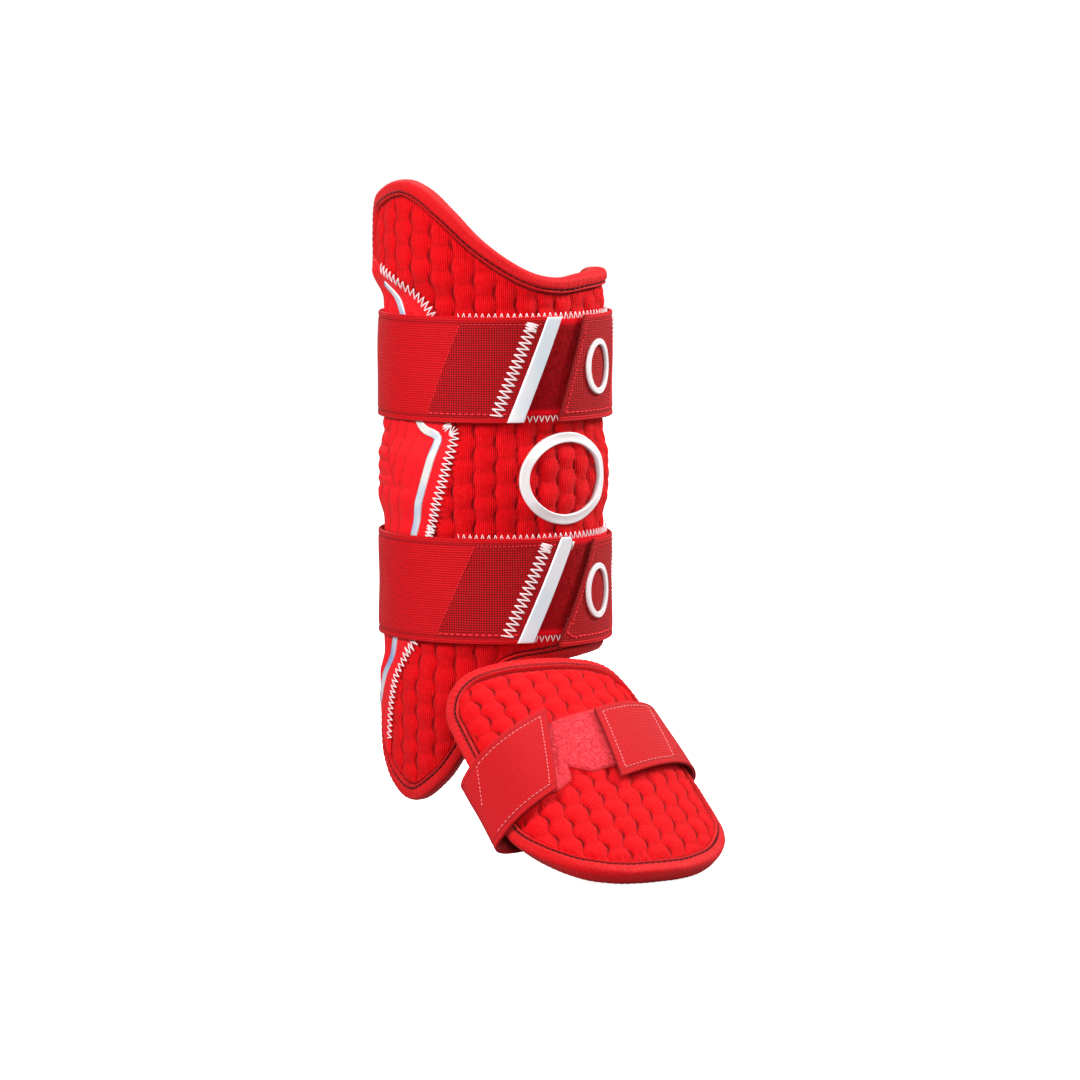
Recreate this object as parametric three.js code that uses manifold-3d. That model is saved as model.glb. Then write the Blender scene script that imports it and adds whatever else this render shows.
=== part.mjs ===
// A batter's leg guard: a padded shin shell with two elastic calf straps, and a padded guard over the top of
// the foot on a strap of its own. Millimetres. The origin is on the leg's axis, halfway between the calf
// straps. +Z is up the leg, the toes point to -Y and the outer side of the leg is -X.
import * as THREE from "three";
import Module from "manifold-3d";

const wasm = await Module();
wasm.setup();

const DEG = Math.PI / 180;

// Sizes of the shin part
const SHIN_RADIUS = 62; // outer face of the padding, from the leg's axis
const SHIN_HEIGHT = 337.5; // from the tip of the ankle flap to the peak of the tall side
const PAD_WALL = 9; // thickness of all the padding
const SIDE_FLARE = 4; // how far the tall side leans out at its top
const FRONT_LIP = 2.5; // how far the front leans in at its top edge
const FRONT_HEM = 3.5; // how far the front leans in at its bottom edge
const SIDE_TURN = { from: 45, to: 90 }; // degrees over which the front passes into the outer side
const RIM_RISE = 18; // height over which the lip and the flare build up past the upper strap
const HEM_RISE = 15; // height over which the hem builds up past the lower strap
const BACK_FLAT = { depth: 5, turn: 206, reach: 72 }; // how far, and where, the straps lie flatter behind

// Sizes of the binding along every padded edge
const BINDING_WIDTH = 8.8;
const BINDING_THICKNESS = 11;

// Sizes of the calf straps
const STRAP_WIDTH = 57;
const STRAP_SPACING = 119; // from the middle of one strap to the middle of the other
const STRAP_SINK = 2.8; // how far the straps press into the padding
const STRAP_MARGIN = 6; // the pressed stretch beyond each edge of a strap
const STRAP_FADE = 14; // the stretch over which the padding rises again
const LABEL_WIDTH = 8.7;
const HOOK_INSET = 2; // from the edges of a strap to its hook pad
const HOOK_LENGTH = 44;
const STRAP_CUT_FADE = 50; // degrees from a slanted cut to where the strap's weave is straight again
const PATCH_TURN = 60; // degrees that a loop patch reaches to each side of the front

// Thickness of the sewn and fastened layers
const LOOP_THICKNESS = 1.4;
const HOOK_THICKNESS = 0.8;
const ELASTIC_THICKNESS = 1.6;
const LABEL_THICKNESS = 0.5;
const PANEL_THICKNESS = 1.1;
const TRIM_THICKNESS = 0.9;
const EMBLEM_THICKNESS = 1.4;
const LINK_THICKNESS = 2;

// Clearances
const SEAM_GAP = 0.3; // between the padding and its binding
const SKIN_GAP = 0.3; // between a skin that is cut to its base and that base
const SKIN_DEPTH = 2; // how far a skin reaches down before it is cut
const PAD_GAP = 0.5; // between the padding and what is sewn on it
const LAYER_GAP = 0.3; // between two flat layers
const LINK_GAP = 0.7; // between the binding's inner face and the foot's link

// Widths of the strips and rings, and where the rings lie
const TRIM_WIDTH = 5;
const PANEL_MARGIN = 1; // from the binding to the side panel
const FRONT_RING = { width: 60, height: 50, stroke: 5.5 };
const TAB_RING = { width: 22, height: 30, stroke: 3.2 };
const TAB_RING_TURN = -20; // degrees from the front to the middle of a tab's ring

// Sizes of the foot guard, measured along its curved top
const FOOT_LENGTH = 166;
const FOOT_HALF_WIDTH = 70.9;
const FOOT_AHEAD = 1.4; // from the shin padding's face forward to the guard's rear edge
const FOOT_RISE = 5.55; // height of that edge on the ridge above the lowest hem of the shin's front
const FOOT_SIDE = -10.5; // the ridge's place across, towards +X
const FOOT_YAW = 10.9; // degrees that the toes turn outward
const FOOT_DIP = { rear: 29, toe: 42.7 }; // slope of the ridge, in degrees below level
const ARCH_TURN = { rear: 74.3, toe: 56.1 }; // slope of the sides at the edge, in degrees
const ARCH_EARLY = 0.26; // share of that slope which grows evenly from the ridge

// Web between the shin part and the foot guard. turn: its sides on the shin part. across: its sides on the
// foot guard. overlap: how far it reaches up inside the shin part and along under the guard.
const LINK = { turn: [-22, 18], across: [38, -4], overlap: 26, slack: 5 };

// Sizes of the foot strap
const FOOT_STRAP_WIDTH = 48;
const FOOT_STRAP_WRAP = 2; // how far the strap follows the arch past the guard's edge
const FOOT_STRAP_BOW = 24; // how far the pull of its sides reaches under the foot

const MATERIALS = {
  quilt: { color: 0xe0231f, roughness: 0.85, metalness: 0 },
  binding: { color: 0xd01f1d, roughness: 0.8, metalness: 0 },
  panel: { color: 0xd8211e, roughness: 0.5, metalness: 0 },
  silver: { color: 0xc9c6cf, roughness: 0.3, metalness: 0.6 },
  loop: { color: 0xd9363a, roughness: 1, metalness: 0 },
  hook: { color: 0x9c1818, roughness: 0.8, metalness: 0 },
  elastic: { color: 0xb81a19, roughness: 0.9, metalness: 0 },
  rubber: { color: 0xf2f1ef, roughness: 0.45, metalness: 0 },
};

// Facets along each kind of piece
const SHIN_CELLS = [24, 22];
const FOOT_CELLS = [12, 12];
const PANEL_CELLS = { along: 26, across: 8 };
const STRAP_CELLS = 46;
const ROLL_SIDES = 8;
const RING_SIDES = 6;

// Heights of the layers above the padding's outer face, each as its low and high side
const onPad = (gap, thickness) => ({ low: gap, high: gap + thickness });
const above = (layer, thickness) => onPad(layer.high + LAYER_GAP, thickness);
const PAD_LAYER = { low: -PAD_WALL, high: 0 };
const LOOP_LAYER = onPad(PAD_GAP, LOOP_THICKNESS);
const HOOK_LAYER = above(LOOP_LAYER, HOOK_THICKNESS);
const STRAP_LAYER = above(HOOK_LAYER, ELASTIC_THICKNESS);
const LABEL_LAYER = above(STRAP_LAYER, LABEL_THICKNESS);
const TAB_EMBLEM_LAYER = above(STRAP_LAYER, EMBLEM_THICKNESS);
const PANEL_LAYER = onPad(PAD_GAP, PANEL_THICKNESS);
const TRIM_LAYER = above(PANEL_LAYER, TRIM_THICKNESS);
const EMBLEM_LAYER = onPad(PAD_GAP, EMBLEM_THICKNESS);
const BINDING_MIDDLE = -PAD_WALL / 2;
const BINDING_LAYER = {
  low: BINDING_MIDDLE - BINDING_THICKNESS / 2,
  high: BINDING_MIDDLE + BINDING_THICKNESS / 2,
};
const PAD_INSET = BINDING_WIDTH + SEAM_GAP;

// Edge of the shin part, once round. turn: degrees from the front towards the outer side. level: height as a
// share of SHIN_HEIGHT. A corner starts a new side of the padding.
const SHIN_EDGE = [
  { turn: -78.5, level: 0.311, corner: "front top" },
  { turn: -71, level: 0.325 },
  { turn: -20, level: 0.3255 },
  { turn: 3, level: 0.3206 },
  { turn: 20, level: 0.331 },
  { turn: 46, level: 0.379 },
  { turn: 64, level: 0.43 },
  { turn: 77, level: 0.463 },
  { turn: 90, level: 0.476 },
  { turn: 109, level: 0.461 },
  { turn: 121, level: 0.441 },
  { turn: 127.5, level: 0.395, corner: "rear top" },
  { turn: 131.5, level: 0.335 },
  { turn: 134.5, level: 0.28 },
  { turn: 135.5, level: 0.05 },
  { turn: 135, level: -0.24 },
  { turn: 133, level: -0.37, corner: "rear bottom" },
  { turn: 125, level: -0.4326 },
  { turn: 105, level: -0.5 },
  { turn: 86, level: -0.522 },
  { turn: 68, level: -0.488 },
  { turn: 56.5, level: -0.443 },
  { turn: 48.5, level: -0.396 },
  { turn: 41, level: -0.346 },
  { turn: 32, level: -0.311 },
  { turn: 10, level: -0.298 },
  { turn: -20, level: -0.291 },
  { turn: -71, level: -0.287 },
  { turn: -78.5, level: -0.273, corner: "front bottom" },
  { turn: -81, level: -0.24 },
  { turn: -82, level: -0.1 },
  { turn: -82, level: 0.15 },
  { turn: -81, level: 0.283 },
];

const LOWEST_HEM = -0.3; // level below the shin part's edge where the link passes under it

// Front edge of the side panel from top to bottom, with the same turn and level
const PANEL_EDGE = [
  { turn: 116, level: 0.345 },
  { turn: 93, level: 0.311 },
  { turn: 74, level: 0.26 },
  { turn: 68, level: 0.18 },
  { turn: 66, level: 0.09 },
  { turn: 61.5, level: 0.069 },
  { turn: 68, level: -0.016 },
  { turn: 77, level: -0.098 },
  { turn: 82, level: -0.178 },
  { turn: 86, level: -0.26 },
  { turn: 94, level: -0.289 },
  { turn: 104, level: -0.37 },
  { turn: 107, level: -0.455 },
];

// Middle line of the silver trim from top to bottom
const TRIM_LINE = [
  { turn: 106, level: 0.307 },
  { turn: 95, level: 0.264 },
  { turn: 88, level: 0.18 },
  { turn: 82, level: 0.092 },
  { turn: 70, level: 0.066 },
  { turn: 78, level: -0.016 },
  { turn: 86, level: -0.092 },
  { turn: 95, level: -0.178 },
  { turn: 103, level: -0.262 },
  { turn: 110, level: -0.318 },
  { turn: 121, level: -0.372 },
];

// Half of the foot guard's edge from the middle of the rear to the middle of the toe. across: share of
// FOOT_HALF_WIDTH. along: share of FOOT_LENGTH.
const FOOT_EDGE = [
  { across: 0, along: 0 },
  { across: 0.37, along: 0 },
  { across: 0.64, along: 0.012 },
  { across: 0.815, along: 0.059, corner: "rear" },
  { across: 0.926, along: 0.133 },
  { across: 0.955, along: 0.214 },
  { across: 0.985, along: 0.45 },
  { across: 1, along: 0.63 },
  { across: 0.963, along: 0.736 },
  { across: 0.81, along: 0.85, corner: "toe" },
  { across: 0.59, along: 0.94 },
  { across: 0.32, along: 0.988 },
  { across: 0, along: 1 },
];

// The two ends of the foot strap, on the guard's curved top. across and along: middle of the cut end, as
// shares. lean: share of the strap's width by which the cut leans over. slope: how far the strap runs
// towards the toes for each step inward.
const FOOT_STRAP_ENDS = {
  left: { across: -0.36, along: 0.455, lean: 0.37, slope: -0.37 },
  right: { across: 0.092, along: 0.462, lean: 0.16, slope: -0.305 },
};

// Long sides of the foot's loop patch. near and far: share of FOOT_LENGTH on the ankle's and the toes' side.
const FOOT_PATCH = [
  { across: -0.62, near: 0.42, far: 0.62 },
  { across: -0.46, near: 0.37, far: 0.618 },
  { across: -0.32, near: 0.345, far: 0.585 },
  { across: -0.31, near: 0.34, far: 0.525 },
  { across: -0.12, near: 0.315, far: 0.565 },
  { across: 0.1, near: 0.295, far: 0.545 },
  { across: 0.5, near: 0.24, far: 0.47 },
];

// Each calf strap. side: above or below the origin. ends: degrees from the front to the cut of the long end
// and of the short tab, at the strap's top and bottom edge. drop: how much lower the tab's end lies.
const CALF_STRAPS = [
  { name: "upper", side: 1, long: { top: 5.6, bottom: 26.2 }, tab: { top: -9.3, bottom: 7.7 }, drop: 0 },
  { name: "lower", side: -1, long: { top: -2.1, bottom: 21.2 }, tab: { top: -17.1, bottom: 7.4 }, drop: 2.8 },
];

const mix = (from, to, share) => from + (to - from) * share;
const steps = (count) => Array.from({ length: count + 1 }, (_, index) => index / count);

/** Rises smoothly from 0 at `from` to 1 at `to`. */
function ramp(value, from, to) {
  const share = THREE.MathUtils.clamp((value - from) / (to - from), 0, 1);
  return share * share * (3 - 2 * share);
}

/** 1 where a strap presses the padding in, falling to 0 above and below it. */
function pressed(z) {
  const drop = Math.max(...CALF_STRAPS.map((strap) => strap.drop));
  const reach = (STRAP_WIDTH + drop) / 2 + STRAP_MARGIN;
  const away = Math.min(Math.abs(z - STRAP_SPACING / 2), Math.abs(z + (STRAP_SPACING + drop) / 2));
  return 1 - ramp(away, reach, reach + STRAP_FADE);
}

/** Radius of the padding's outer face at a turn in degrees and a height. */
function shinRadius(turn, z) {
  const strapEnd = (STRAP_SPACING + STRAP_WIDTH) / 2;
  const outerSide = ramp(turn, SIDE_TURN.from, SIDE_TURN.to);
  const rim = ramp(z, strapEnd + STRAP_MARGIN, strapEnd + STRAP_MARGIN + RIM_RISE);
  const lean = mix(-FRONT_LIP, SIDE_FLARE, outerSide) * rim;
  const hem = FRONT_HEM * (1 - outerSide) * ramp(-z, strapEnd, strapEnd + HEM_RISE);
  const behind = ramp(BACK_FLAT.reach - Math.abs(turn - BACK_FLAT.turn), 0, BACK_FLAT.reach);
  return SHIN_RADIUS - STRAP_SINK * pressed(z) + lean - hem - BACK_FLAT.depth * behind;
}

/** Point at an arc length from the front, a height and a lift above the padding's face. */
function onShin(arc, z, lift) {
  const turn = arc / SHIN_RADIUS;
  const radius = shinRadius(turn / DEG, z) + lift;
  return new THREE.Vector3(-radius * Math.sin(turn), -radius * Math.cos(turn), z);
}

/** Point on the foot guard: width from the ridge towards +X, length from its rear edge, lift above it. */
function onFoot(width, length, lift) {
  const share = length / FOOT_LENGTH;
  const dip = mix(FOOT_DIP.rear, FOOT_DIP.toe, share) * DEG;
  const meanDip = mix(FOOT_DIP.rear, FOOT_DIP.toe, share / 2) * DEG;
  const sideSlope = mix(ARCH_TURN.rear, ARCH_TURN.toe, share) * DEG;
  const slopeAt = (place) => {
    const part = place / FOOT_HALF_WIDTH;
    return sideSlope * (ARCH_EARLY * part + (1 - ARCH_EARLY) * part ** 3);
  };
  const slices = 10;
  let out = 0;
  let down = 0;
  for (let slice = 0; slice < slices; slice += 1) {
    const slope = slopeAt((width * (slice + 0.5)) / slices);
    out += (Math.cos(slope) * width) / slices;
    down += (Math.sin(slope) * width) / slices;
  }
  const slope = slopeAt(width);
  out += lift * Math.sin(slope);
  down -= lift * Math.cos(slope);
  const yaw = FOOT_YAW * DEG;
  const ahead = new THREE.Vector3(-Math.sin(yaw), -Math.cos(yaw), 0);
  const across = new THREE.Vector3(Math.cos(yaw), -Math.sin(yaw), 0);
  const reach = SHIN_RADIUS + FOOT_AHEAD + length * Math.cos(meanDip) - down * Math.sin(dip);
  const level = LOWEST_HEM * SHIN_HEIGHT + FOOT_RISE - length * Math.sin(meanDip) - down * Math.cos(dip);
  const point = across.multiplyScalar(FOOT_SIDE + out).addScaledVector(ahead, reach);
  return point.setZ(level);
}

/** A solid from its vertices and faces, turned to face outward. */
function solid(points, faces) {
  let volume = 0;
  for (const [a, b, c] of faces) {
    volume += points[a].dot(points[b].clone().cross(points[c]));
  }
  const facing = volume > 0 ? faces : faces.map(([a, b, c]) => [a, c, b]);
  const geometry = new THREE.BufferGeometry().setFromPoints(points);
  geometry.setIndex(facing.flat());
  geometry.computeVertexNormals();
  return geometry;
}

/** A closed geometry as a body that can be cut. */
function body(geometry) {
  const vertProperties = new Float32Array(geometry.getAttribute("position").array);
  const triVerts = new Uint32Array(geometry.getIndex().array);
  return new wasm.Manifold(new wasm.Mesh({ numProp: 3, vertProperties, triVerts }));
}

/** A geometry less the volume of another. */
function cutBy(geometry, tool) {
  const mesh = body(geometry).subtract(body(tool)).getMesh();
  const result = new THREE.BufferGeometry();
  result.setAttribute("position", new THREE.BufferAttribute(mesh.vertProperties, 3));
  result.setIndex(new THREE.BufferAttribute(mesh.triVerts, 1));
  result.computeVertexNormals();
  return result;
}

/** A geometry cut so that its underside keeps an even gap to the base it lies on. */
function seatedOn(base, geometry) {
  const layer = { low: base.high - 2 * SKIN_DEPTH, high: base.high + SKIN_GAP };
  return cutBy(geometry, sheetOn(base.place, base.grid, layer));
}

/** A layer that reaches down into its base, to be cut to it. */
const deepened = (layer) => ({ low: layer.low - SKIN_DEPTH, high: layer.high });

/** A closed sheet between two grids of points that have the same rows and columns. */
function sheetBetween(highGrid, lowGrid) {
  const rows = highGrid.length;
  const columns = highGrid[0].length;
  const points = [...highGrid.flat(), ...lowGrid.flat()];
  const high = (row, column) => row * columns + column;
  const low = (row, column) => rows * columns + high(row, column);
  const faces = [];
  const quad = (a, b, c, d) => faces.push([a, b, c], [a, c, d]);
  for (let row = 0; row < rows - 1; row += 1) {
    for (let column = 0; column < columns - 1; column += 1) {
      quad(high(row, column), high(row, column + 1), high(row + 1, column + 1), high(row + 1, column));
      quad(low(row, column), low(row + 1, column), low(row + 1, column + 1), low(row, column + 1));
    }
    const end = columns - 1;
    quad(low(row, 0), high(row, 0), high(row + 1, 0), low(row + 1, 0));
    quad(high(row, end), low(row, end), low(row + 1, end), high(row + 1, end));
  }
  for (let column = 0; column < columns - 1; column += 1) {
    const end = rows - 1;
    quad(high(0, column), low(0, column), low(0, column + 1), high(0, column + 1));
    quad(low(end, column), high(end, column), high(end, column + 1), low(end, column + 1));
  }
  return solid(points, faces);
}

/** A sheet over a grid of flat places, between a layer's low and high side on a curved surface. */
function sheetOn(place, grid, layer) {
  const lifted = (lift) => grid.map((row) => row.map((spot) => place(spot.x, spot.y, lift)));
  return sheetBetween(lifted(layer.high), lifted(layer.low));
}

/** A band of even thickness round a grid of points on its middle surface. */
function bandAround(grid, thickness) {
  const last = grid.length - 1;
  const end = grid[0].length - 1;
  const offset = (amount) =>
    grid.map((row, i) =>
      row.map((point, j) => {
        const along = grid[Math.min(i + 1, last)][j].clone().sub(grid[Math.max(i - 1, 0)][j]);
        const across = row[Math.min(j + 1, end)].clone().sub(row[Math.max(j - 1, 0)]);
        return point.clone().addScaledVector(along.cross(across).normalize(), amount);
      }),
    );
  return sheetBetween(offset(thickness / 2), offset(-thickness / 2));
}

/** A closed roll along stations of a flat edge. Its section lies between the edge and `width` inside it. */
function rollOn(place, edge, width, layer, sides) {
  const count = edge.length;
  const middle = (layer.low + layer.high) / 2;
  const half = (layer.high - layer.low) / 2;
  const rounded = (value) => Math.sign(value) * Math.sqrt(Math.abs(value));
  const points = edge.flatMap((station) =>
    steps(sides).slice(0, sides).map((share) => {
      const angle = (share + 0.5 / sides) * 2 * Math.PI;
      const inward = (width / 2) * (1 - rounded(Math.cos(angle)));
      const spot = station.inside(inward);
      return place(spot.x, spot.y, middle + half * rounded(Math.sin(angle)));
    }),
  );
  const faces = [];
  for (let station = 0; station < count; station += 1) {
    for (let side = 0; side < sides; side += 1) {
      const next = ((station + 1) % count) * sides;
      const turned = (side + 1) % sides;
      const [a, b] = [station * sides + side, station * sides + turned];
      const [c, d] = [next + turned, next + side];
      faces.push([a, b, c], [a, c, d]);
    }
  }
  return solid(points, faces);
}

/** The smooth closed edge through a table's flat points, cut into four sides at its corners. */
function smoothEdge(points, corners, counts) {
  const curve = new THREE.CatmullRomCurve3(
    points.map((point) => new THREE.Vector3(point.x, point.y, 0)),
    true,
  );
  return corners.map((corner, index) => {
    const from = corner / points.length;
    const following = corners[(index + 1) % corners.length];
    const to = following / points.length + (following <= corner ? 1 : 0);
    return stationsAlong(curve, from, to, counts[index % 2]);
  });
}

/** Stations along a stretch of a curve, closer together towards its ends. */
function stationsAlong(curve, from, to, count) {
  const fine = steps(40 * count).map((share) => mix(from, to, share));
  const spots = fine.map((share) => curve.getPoint(share % 1));
  const lengths = [0];
  for (let index = 1; index < spots.length; index += 1) {
    lengths.push(lengths[index - 1] + spots[index].distanceTo(spots[index - 1]));
  }
  const total = lengths[lengths.length - 1];
  return steps(count).map((share) => {
    const eased = share - (0.4 * Math.sin(2 * Math.PI * share)) / (2 * Math.PI);
    const index = lengths.findIndex((length) => length >= eased * total - 1e-6);
    return station(spots[index], curve.getTangent(fine[index] % 1));
  });
}

/** A place on an edge that runs clockwise, and the way to the places inside it. */
function station(spot, tangent) {
  const inside = (amount) => new THREE.Vector2(spot.x + tangent.y * amount, spot.y - tangent.x * amount);
  return { inside };
}

/** A grid of flat places that fills four sides, at an inset from all of them. */
function fill(sides, inset) {
  const [top, right, bottom, left] = sides.map((side) => side.map((place) => place.inside(inset)));
  const columns = top.length - 1;
  const rows = left.length - 1;
  return steps(rows).map((down, row) =>
    steps(columns).map((over, column) => {
      const above = top[column];
      const below = bottom[columns - column];
      const leftward = left[rows - row];
      const rightward = right[row];
      const blend = (axis) =>
        mix(above[axis], below[axis], down) +
        mix(leftward[axis], rightward[axis], over) -
        mix(
          mix(top[0][axis], top[columns][axis], over),
          mix(bottom[columns][axis], bottom[0][axis], over),
          down,
        );
      return new THREE.Vector2(blend("x"), blend("y"));
    }),
  );
}

const wholeEdge = (sides) => sides.flatMap((side) => side.slice(0, -1));
const arcAt = (turn) => turn * DEG * SHIN_RADIUS;
const shinSpot = (row) => new THREE.Vector2(arcAt(row.turn), row.level * SHIN_HEIGHT);

/** The four sides of the shin part's edge, clockwise from the front's top corner. */
function shinSides() {
  const corners = SHIN_EDGE.flatMap((row, index) => (row.corner ? [index] : []));
  return smoothEdge(SHIN_EDGE.map(shinSpot), corners, SHIN_CELLS);
}

/** The four sides of the foot guard's edge, clockwise from the rear corner on the -X side. */
function footSides() {
  const half = FOOT_EDGE.map((row) => ({ ...row, across: -row.across }));
  const whole = [...FOOT_EDGE, ...half.slice(1, -1).reverse()];
  const start = whole.findLastIndex((row) => row.corner);
  const rows = [...whole.slice(start), ...whole.slice(0, start)];
  const spots = rows.map((row) => new THREE.Vector2(row.across * FOOT_HALF_WIDTH, -row.along * FOOT_LENGTH));
  const corners = rows.flatMap((row, index) => (row.corner ? [index] : []));
  return smoothEdge(spots, corners, FOOT_CELLS);
}

/** The foot guard's surface on a plan whose second axis points from the toes to the ankle. */
const onFootPlan = (x, y, lift) => onFoot(x, -y, lift);

/** The side panel's grid, from its front edge to a margin before the binding at the rear. */
function panelGrid(sides) {
  const inset = PAD_INSET + PANEL_MARGIN;
  const rear = [...sides[1], ...sides[2].slice(1)].map((place) => place.inside(inset));
  const rearAt = (z) => {
    const below = rear.findIndex((spot) => spot.y <= z);
    const [high, low] = [rear[Math.max(below - 1, 0)], rear[below]];
    return mix(low.x, high.x, (z - low.y) / Math.max(high.y - low.y, 1e-6));
  };
  return spotsThrough(PANEL_EDGE.map(shinSpot), PANEL_CELLS.along).map((front) => {
    const rearward = rearAt(front.y);
    const spot = (share) => new THREE.Vector2(mix(front.x, rearward, share), front.y);
    return steps(PANEL_CELLS.across).map(spot);
  });
}

/** Places along a smooth line through flat points. */
function spotsThrough(points, count) {
  const curve = new THREE.SplineCurve(points);
  return steps(count).map((share) => curve.getPoint(share));
}

/** The silver trim's grid, two places wide. */
function trimGrid() {
  const line = spotsThrough(TRIM_LINE.map(shinSpot), 32);
  return line.map((spot, index) => {
    const ahead = line[Math.min(index + 1, line.length - 1)];
    const behind = line[Math.max(index - 1, 0)];
    const along = ahead.clone().sub(behind).normalize();
    const side = new THREE.Vector2(-along.y, along.x).multiplyScalar(TRIM_WIDTH / 2);
    return [spot.clone().sub(side), spot.clone().add(side)];
  });
}

/** Stations of an oval ring's outer edge on the flat plan. */
function ovalEdge(centre, ring, count) {
  return steps(count).slice(0, count).map((share) => {
    const angle = -share * 2 * Math.PI;
    const [x, y] = [(ring.width / 2) * Math.cos(angle), (ring.height / 2) * Math.sin(angle)];
    const inside = (amount) =>
      new THREE.Vector2(
        centre.x + x * (1 - (2 * amount) / ring.width),
        centre.y + y * (1 - (2 * amount) / ring.height),
      );
    return { inside };
  });
}

/** The ring on the front, reaching down into the padding. */
function frontRing() {
  const edge = ovalEdge(new THREE.Vector2(0, 0), FRONT_RING, 26);
  return rollOn(onShin, edge, FRONT_RING.stroke, deepened(EMBLEM_LAYER), RING_SIDES);
}

/** Height of a calf strap's middle at a turn in degrees. */
function strapLevel(strap, turn) {
  return (strap.side * STRAP_SPACING) / 2 - strap.drop * ramp(turn < 0 ? turn + 360 : turn, 180, 340);
}

/** A grid along a calf strap between two cuts, each given as turns at the top and bottom edge. */
function strapGrid(strap, from, to, columns, width = STRAP_WIDTH) {
  const middle = (cut) => (cut.top + cut.bottom) / 2;
  const length = middle(to) - middle(from);
  const straight = 1.5 * Math.min(STRAP_CUT_FADE, length);
  return steps(columns).map((share) => {
    const fromFade = 1 - ramp(share * length, 0, straight);
    const toFade = 1 - ramp((1 - share) * length, 0, straight);
    const whole = Math.max(fromFade + toFade, 1);
    const slant = ((from.bottom - from.top) * fromFade + (to.bottom - to.top) * toFade) / whole;
    return [-0.5, -1 / 6, 1 / 6, 0.5].map((part) => {
      const turn = middle(from) + length * share - slant * part;
      return new THREE.Vector2(arcAt(turn), strapLevel(strap, turn) + part * width);
    });
  });
}

/** The cut of a strap moved round by an arc length. */
const moved = (cut, arc) => ({ top: cut.top + arc / arcAt(1), bottom: cut.bottom + arc / arcAt(1) });

/** The loop patch of one calf strap, seated on the padding. */
function loopPatch(strap) {
  const from = { top: -PATCH_TURN, bottom: -PATCH_TURN };
  const to = { top: PATCH_TURN, bottom: PATCH_TURN };
  const grid = strapGrid({ ...strap, drop: 0 }, from, to, 18);
  return seatedOn(shinBase, sheetOn(onShin, grid, deepened(LOOP_LAYER)));
}

/** The ring on the short tab of one calf strap. */
function tabRing(strap) {
  const centre = new THREE.Vector2(arcAt(TAB_RING_TURN), strapLevel(strap, TAB_RING_TURN));
  const edge = ovalEdge(centre, TAB_RING, 20);
  return rollOn(onShin, edge, TAB_RING.stroke, TAB_EMBLEM_LAYER, RING_SIDES);
}

/** All the pieces of one calf strap. */
function calfStrap(strap) {
  const { name, long, tab } = strap;
  const onceRound = moved(tab, arcAt(360));
  const hookWidth = STRAP_WIDTH - 2 * HOOK_INSET;
  const labelWidth = STRAP_WIDTH - 2 * LAYER_GAP;
  const longHook = [moved(long, HOOK_INSET), moved(long, HOOK_INSET + HOOK_LENGTH / 2)];
  const tabHook = [moved(tab, -HOOK_INSET - HOOK_LENGTH), moved(tab, -HOOK_INSET)];
  const label = [long, moved(long, LABEL_WIDTH)];
  const sheet = (grid, layer) => sheetOn(onShin, grid, layer);
  return [
    piece(`${name}_loop_patch`, "loop", loopPatch(strap)),
    piece(`${name}_hook_long`, "hook", sheet(strapGrid(strap, ...longHook, 6, hookWidth), HOOK_LAYER)),
    piece(`${name}_hook_short`, "hook", sheet(strapGrid(strap, ...tabHook, 8, hookWidth), HOOK_LAYER)),
    piece(`${name}_strap`, "elastic", sheet(strapGrid(strap, long, onceRound, STRAP_CELLS), STRAP_LAYER)),
    piece(`${name}_end_label`, "silver", sheet(strapGrid(strap, ...label, 2, labelWidth), LABEL_LAYER)),
    piece(`${name}_tab_emblem`, "rubber", tabRing(strap)),
  ];
}

/** Flat place on a foot strap's end. inward: how far from the guard's edge, part: across the strap. */
function footEndSpot(end, width, part) {
  const middle = end.along * FOOT_LENGTH + end.slope * (width - end.across * FOOT_HALF_WIDTH);
  const along = middle + (part * FOOT_STRAP_WIDTH) / Math.cos(Math.atan(end.slope));
  return new THREE.Vector2(width, along);
}

/** The place across the guard where an end of the foot strap is cut. */
const footCut = (end, part) => end.across * FOOT_HALF_WIDTH - end.lean * part * FOOT_STRAP_WIDTH;

/** Points along one strand of the foot strap, from the cut on the left, under the foot, to the other. */
function footStrand(part, lift) {
  const edge = FOOT_HALF_WIDTH + FOOT_STRAP_WRAP;
  const { left, right } = FOOT_STRAP_ENDS;
  const topSide = (end, outer) =>
    steps(10).map((share) => {
      const spot = footEndSpot(end, mix(footCut(end, part), outer, share), part);
      return onFoot(spot.x, spot.y, lift);
    });
  const leftSide = topSide(left, -edge);
  const rightSide = topSide(right, edge);
  const pull = (side) => {
    const last = side[side.length - 1];
    const way = last.clone().sub(side[side.length - 2]).normalize();
    return last.clone().addScaledVector(way, FOOT_STRAP_BOW);
  };
  const pulls = [pull(leftSide), pull(rightSide)];
  const under = new THREE.CubicBezierCurve3(leftSide.at(-1), ...pulls, rightSide.at(-1));
  return [...leftSide, ...under.getPoints(14).slice(1, -1), ...rightSide.reverse()];
}

/** The foot strap's band. */
function footStrap() {
  const lift = (STRAP_LAYER.low + STRAP_LAYER.high) / 2;
  const strands = [-0.5, -1 / 6, 1 / 6, 0.5].map((part) => footStrand(part, lift));
  const grid = strands[0].map((_, index) => strands.map((strand) => strand[index]));
  return bandAround(grid, ELASTIC_THICKNESS);
}

/** The hook pad under one end of the foot strap, from its cut towards the guard's edge. */
function footHook(end, reach) {
  const inset = 1 - (2 * HOOK_INSET) / FOOT_STRAP_WIDTH;
  const grid = steps(6).map((share) =>
    [-0.5, -0.25, 0, 0.25, 0.5].map((part) => {
      const width = footCut(end, part * inset) + Math.sign(reach) * HOOK_INSET + reach * share;
      return footEndSpot(end, width, part * inset);
    }),
  );
  return sheetOn(onFoot, grid, HOOK_LAYER);
}

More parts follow.
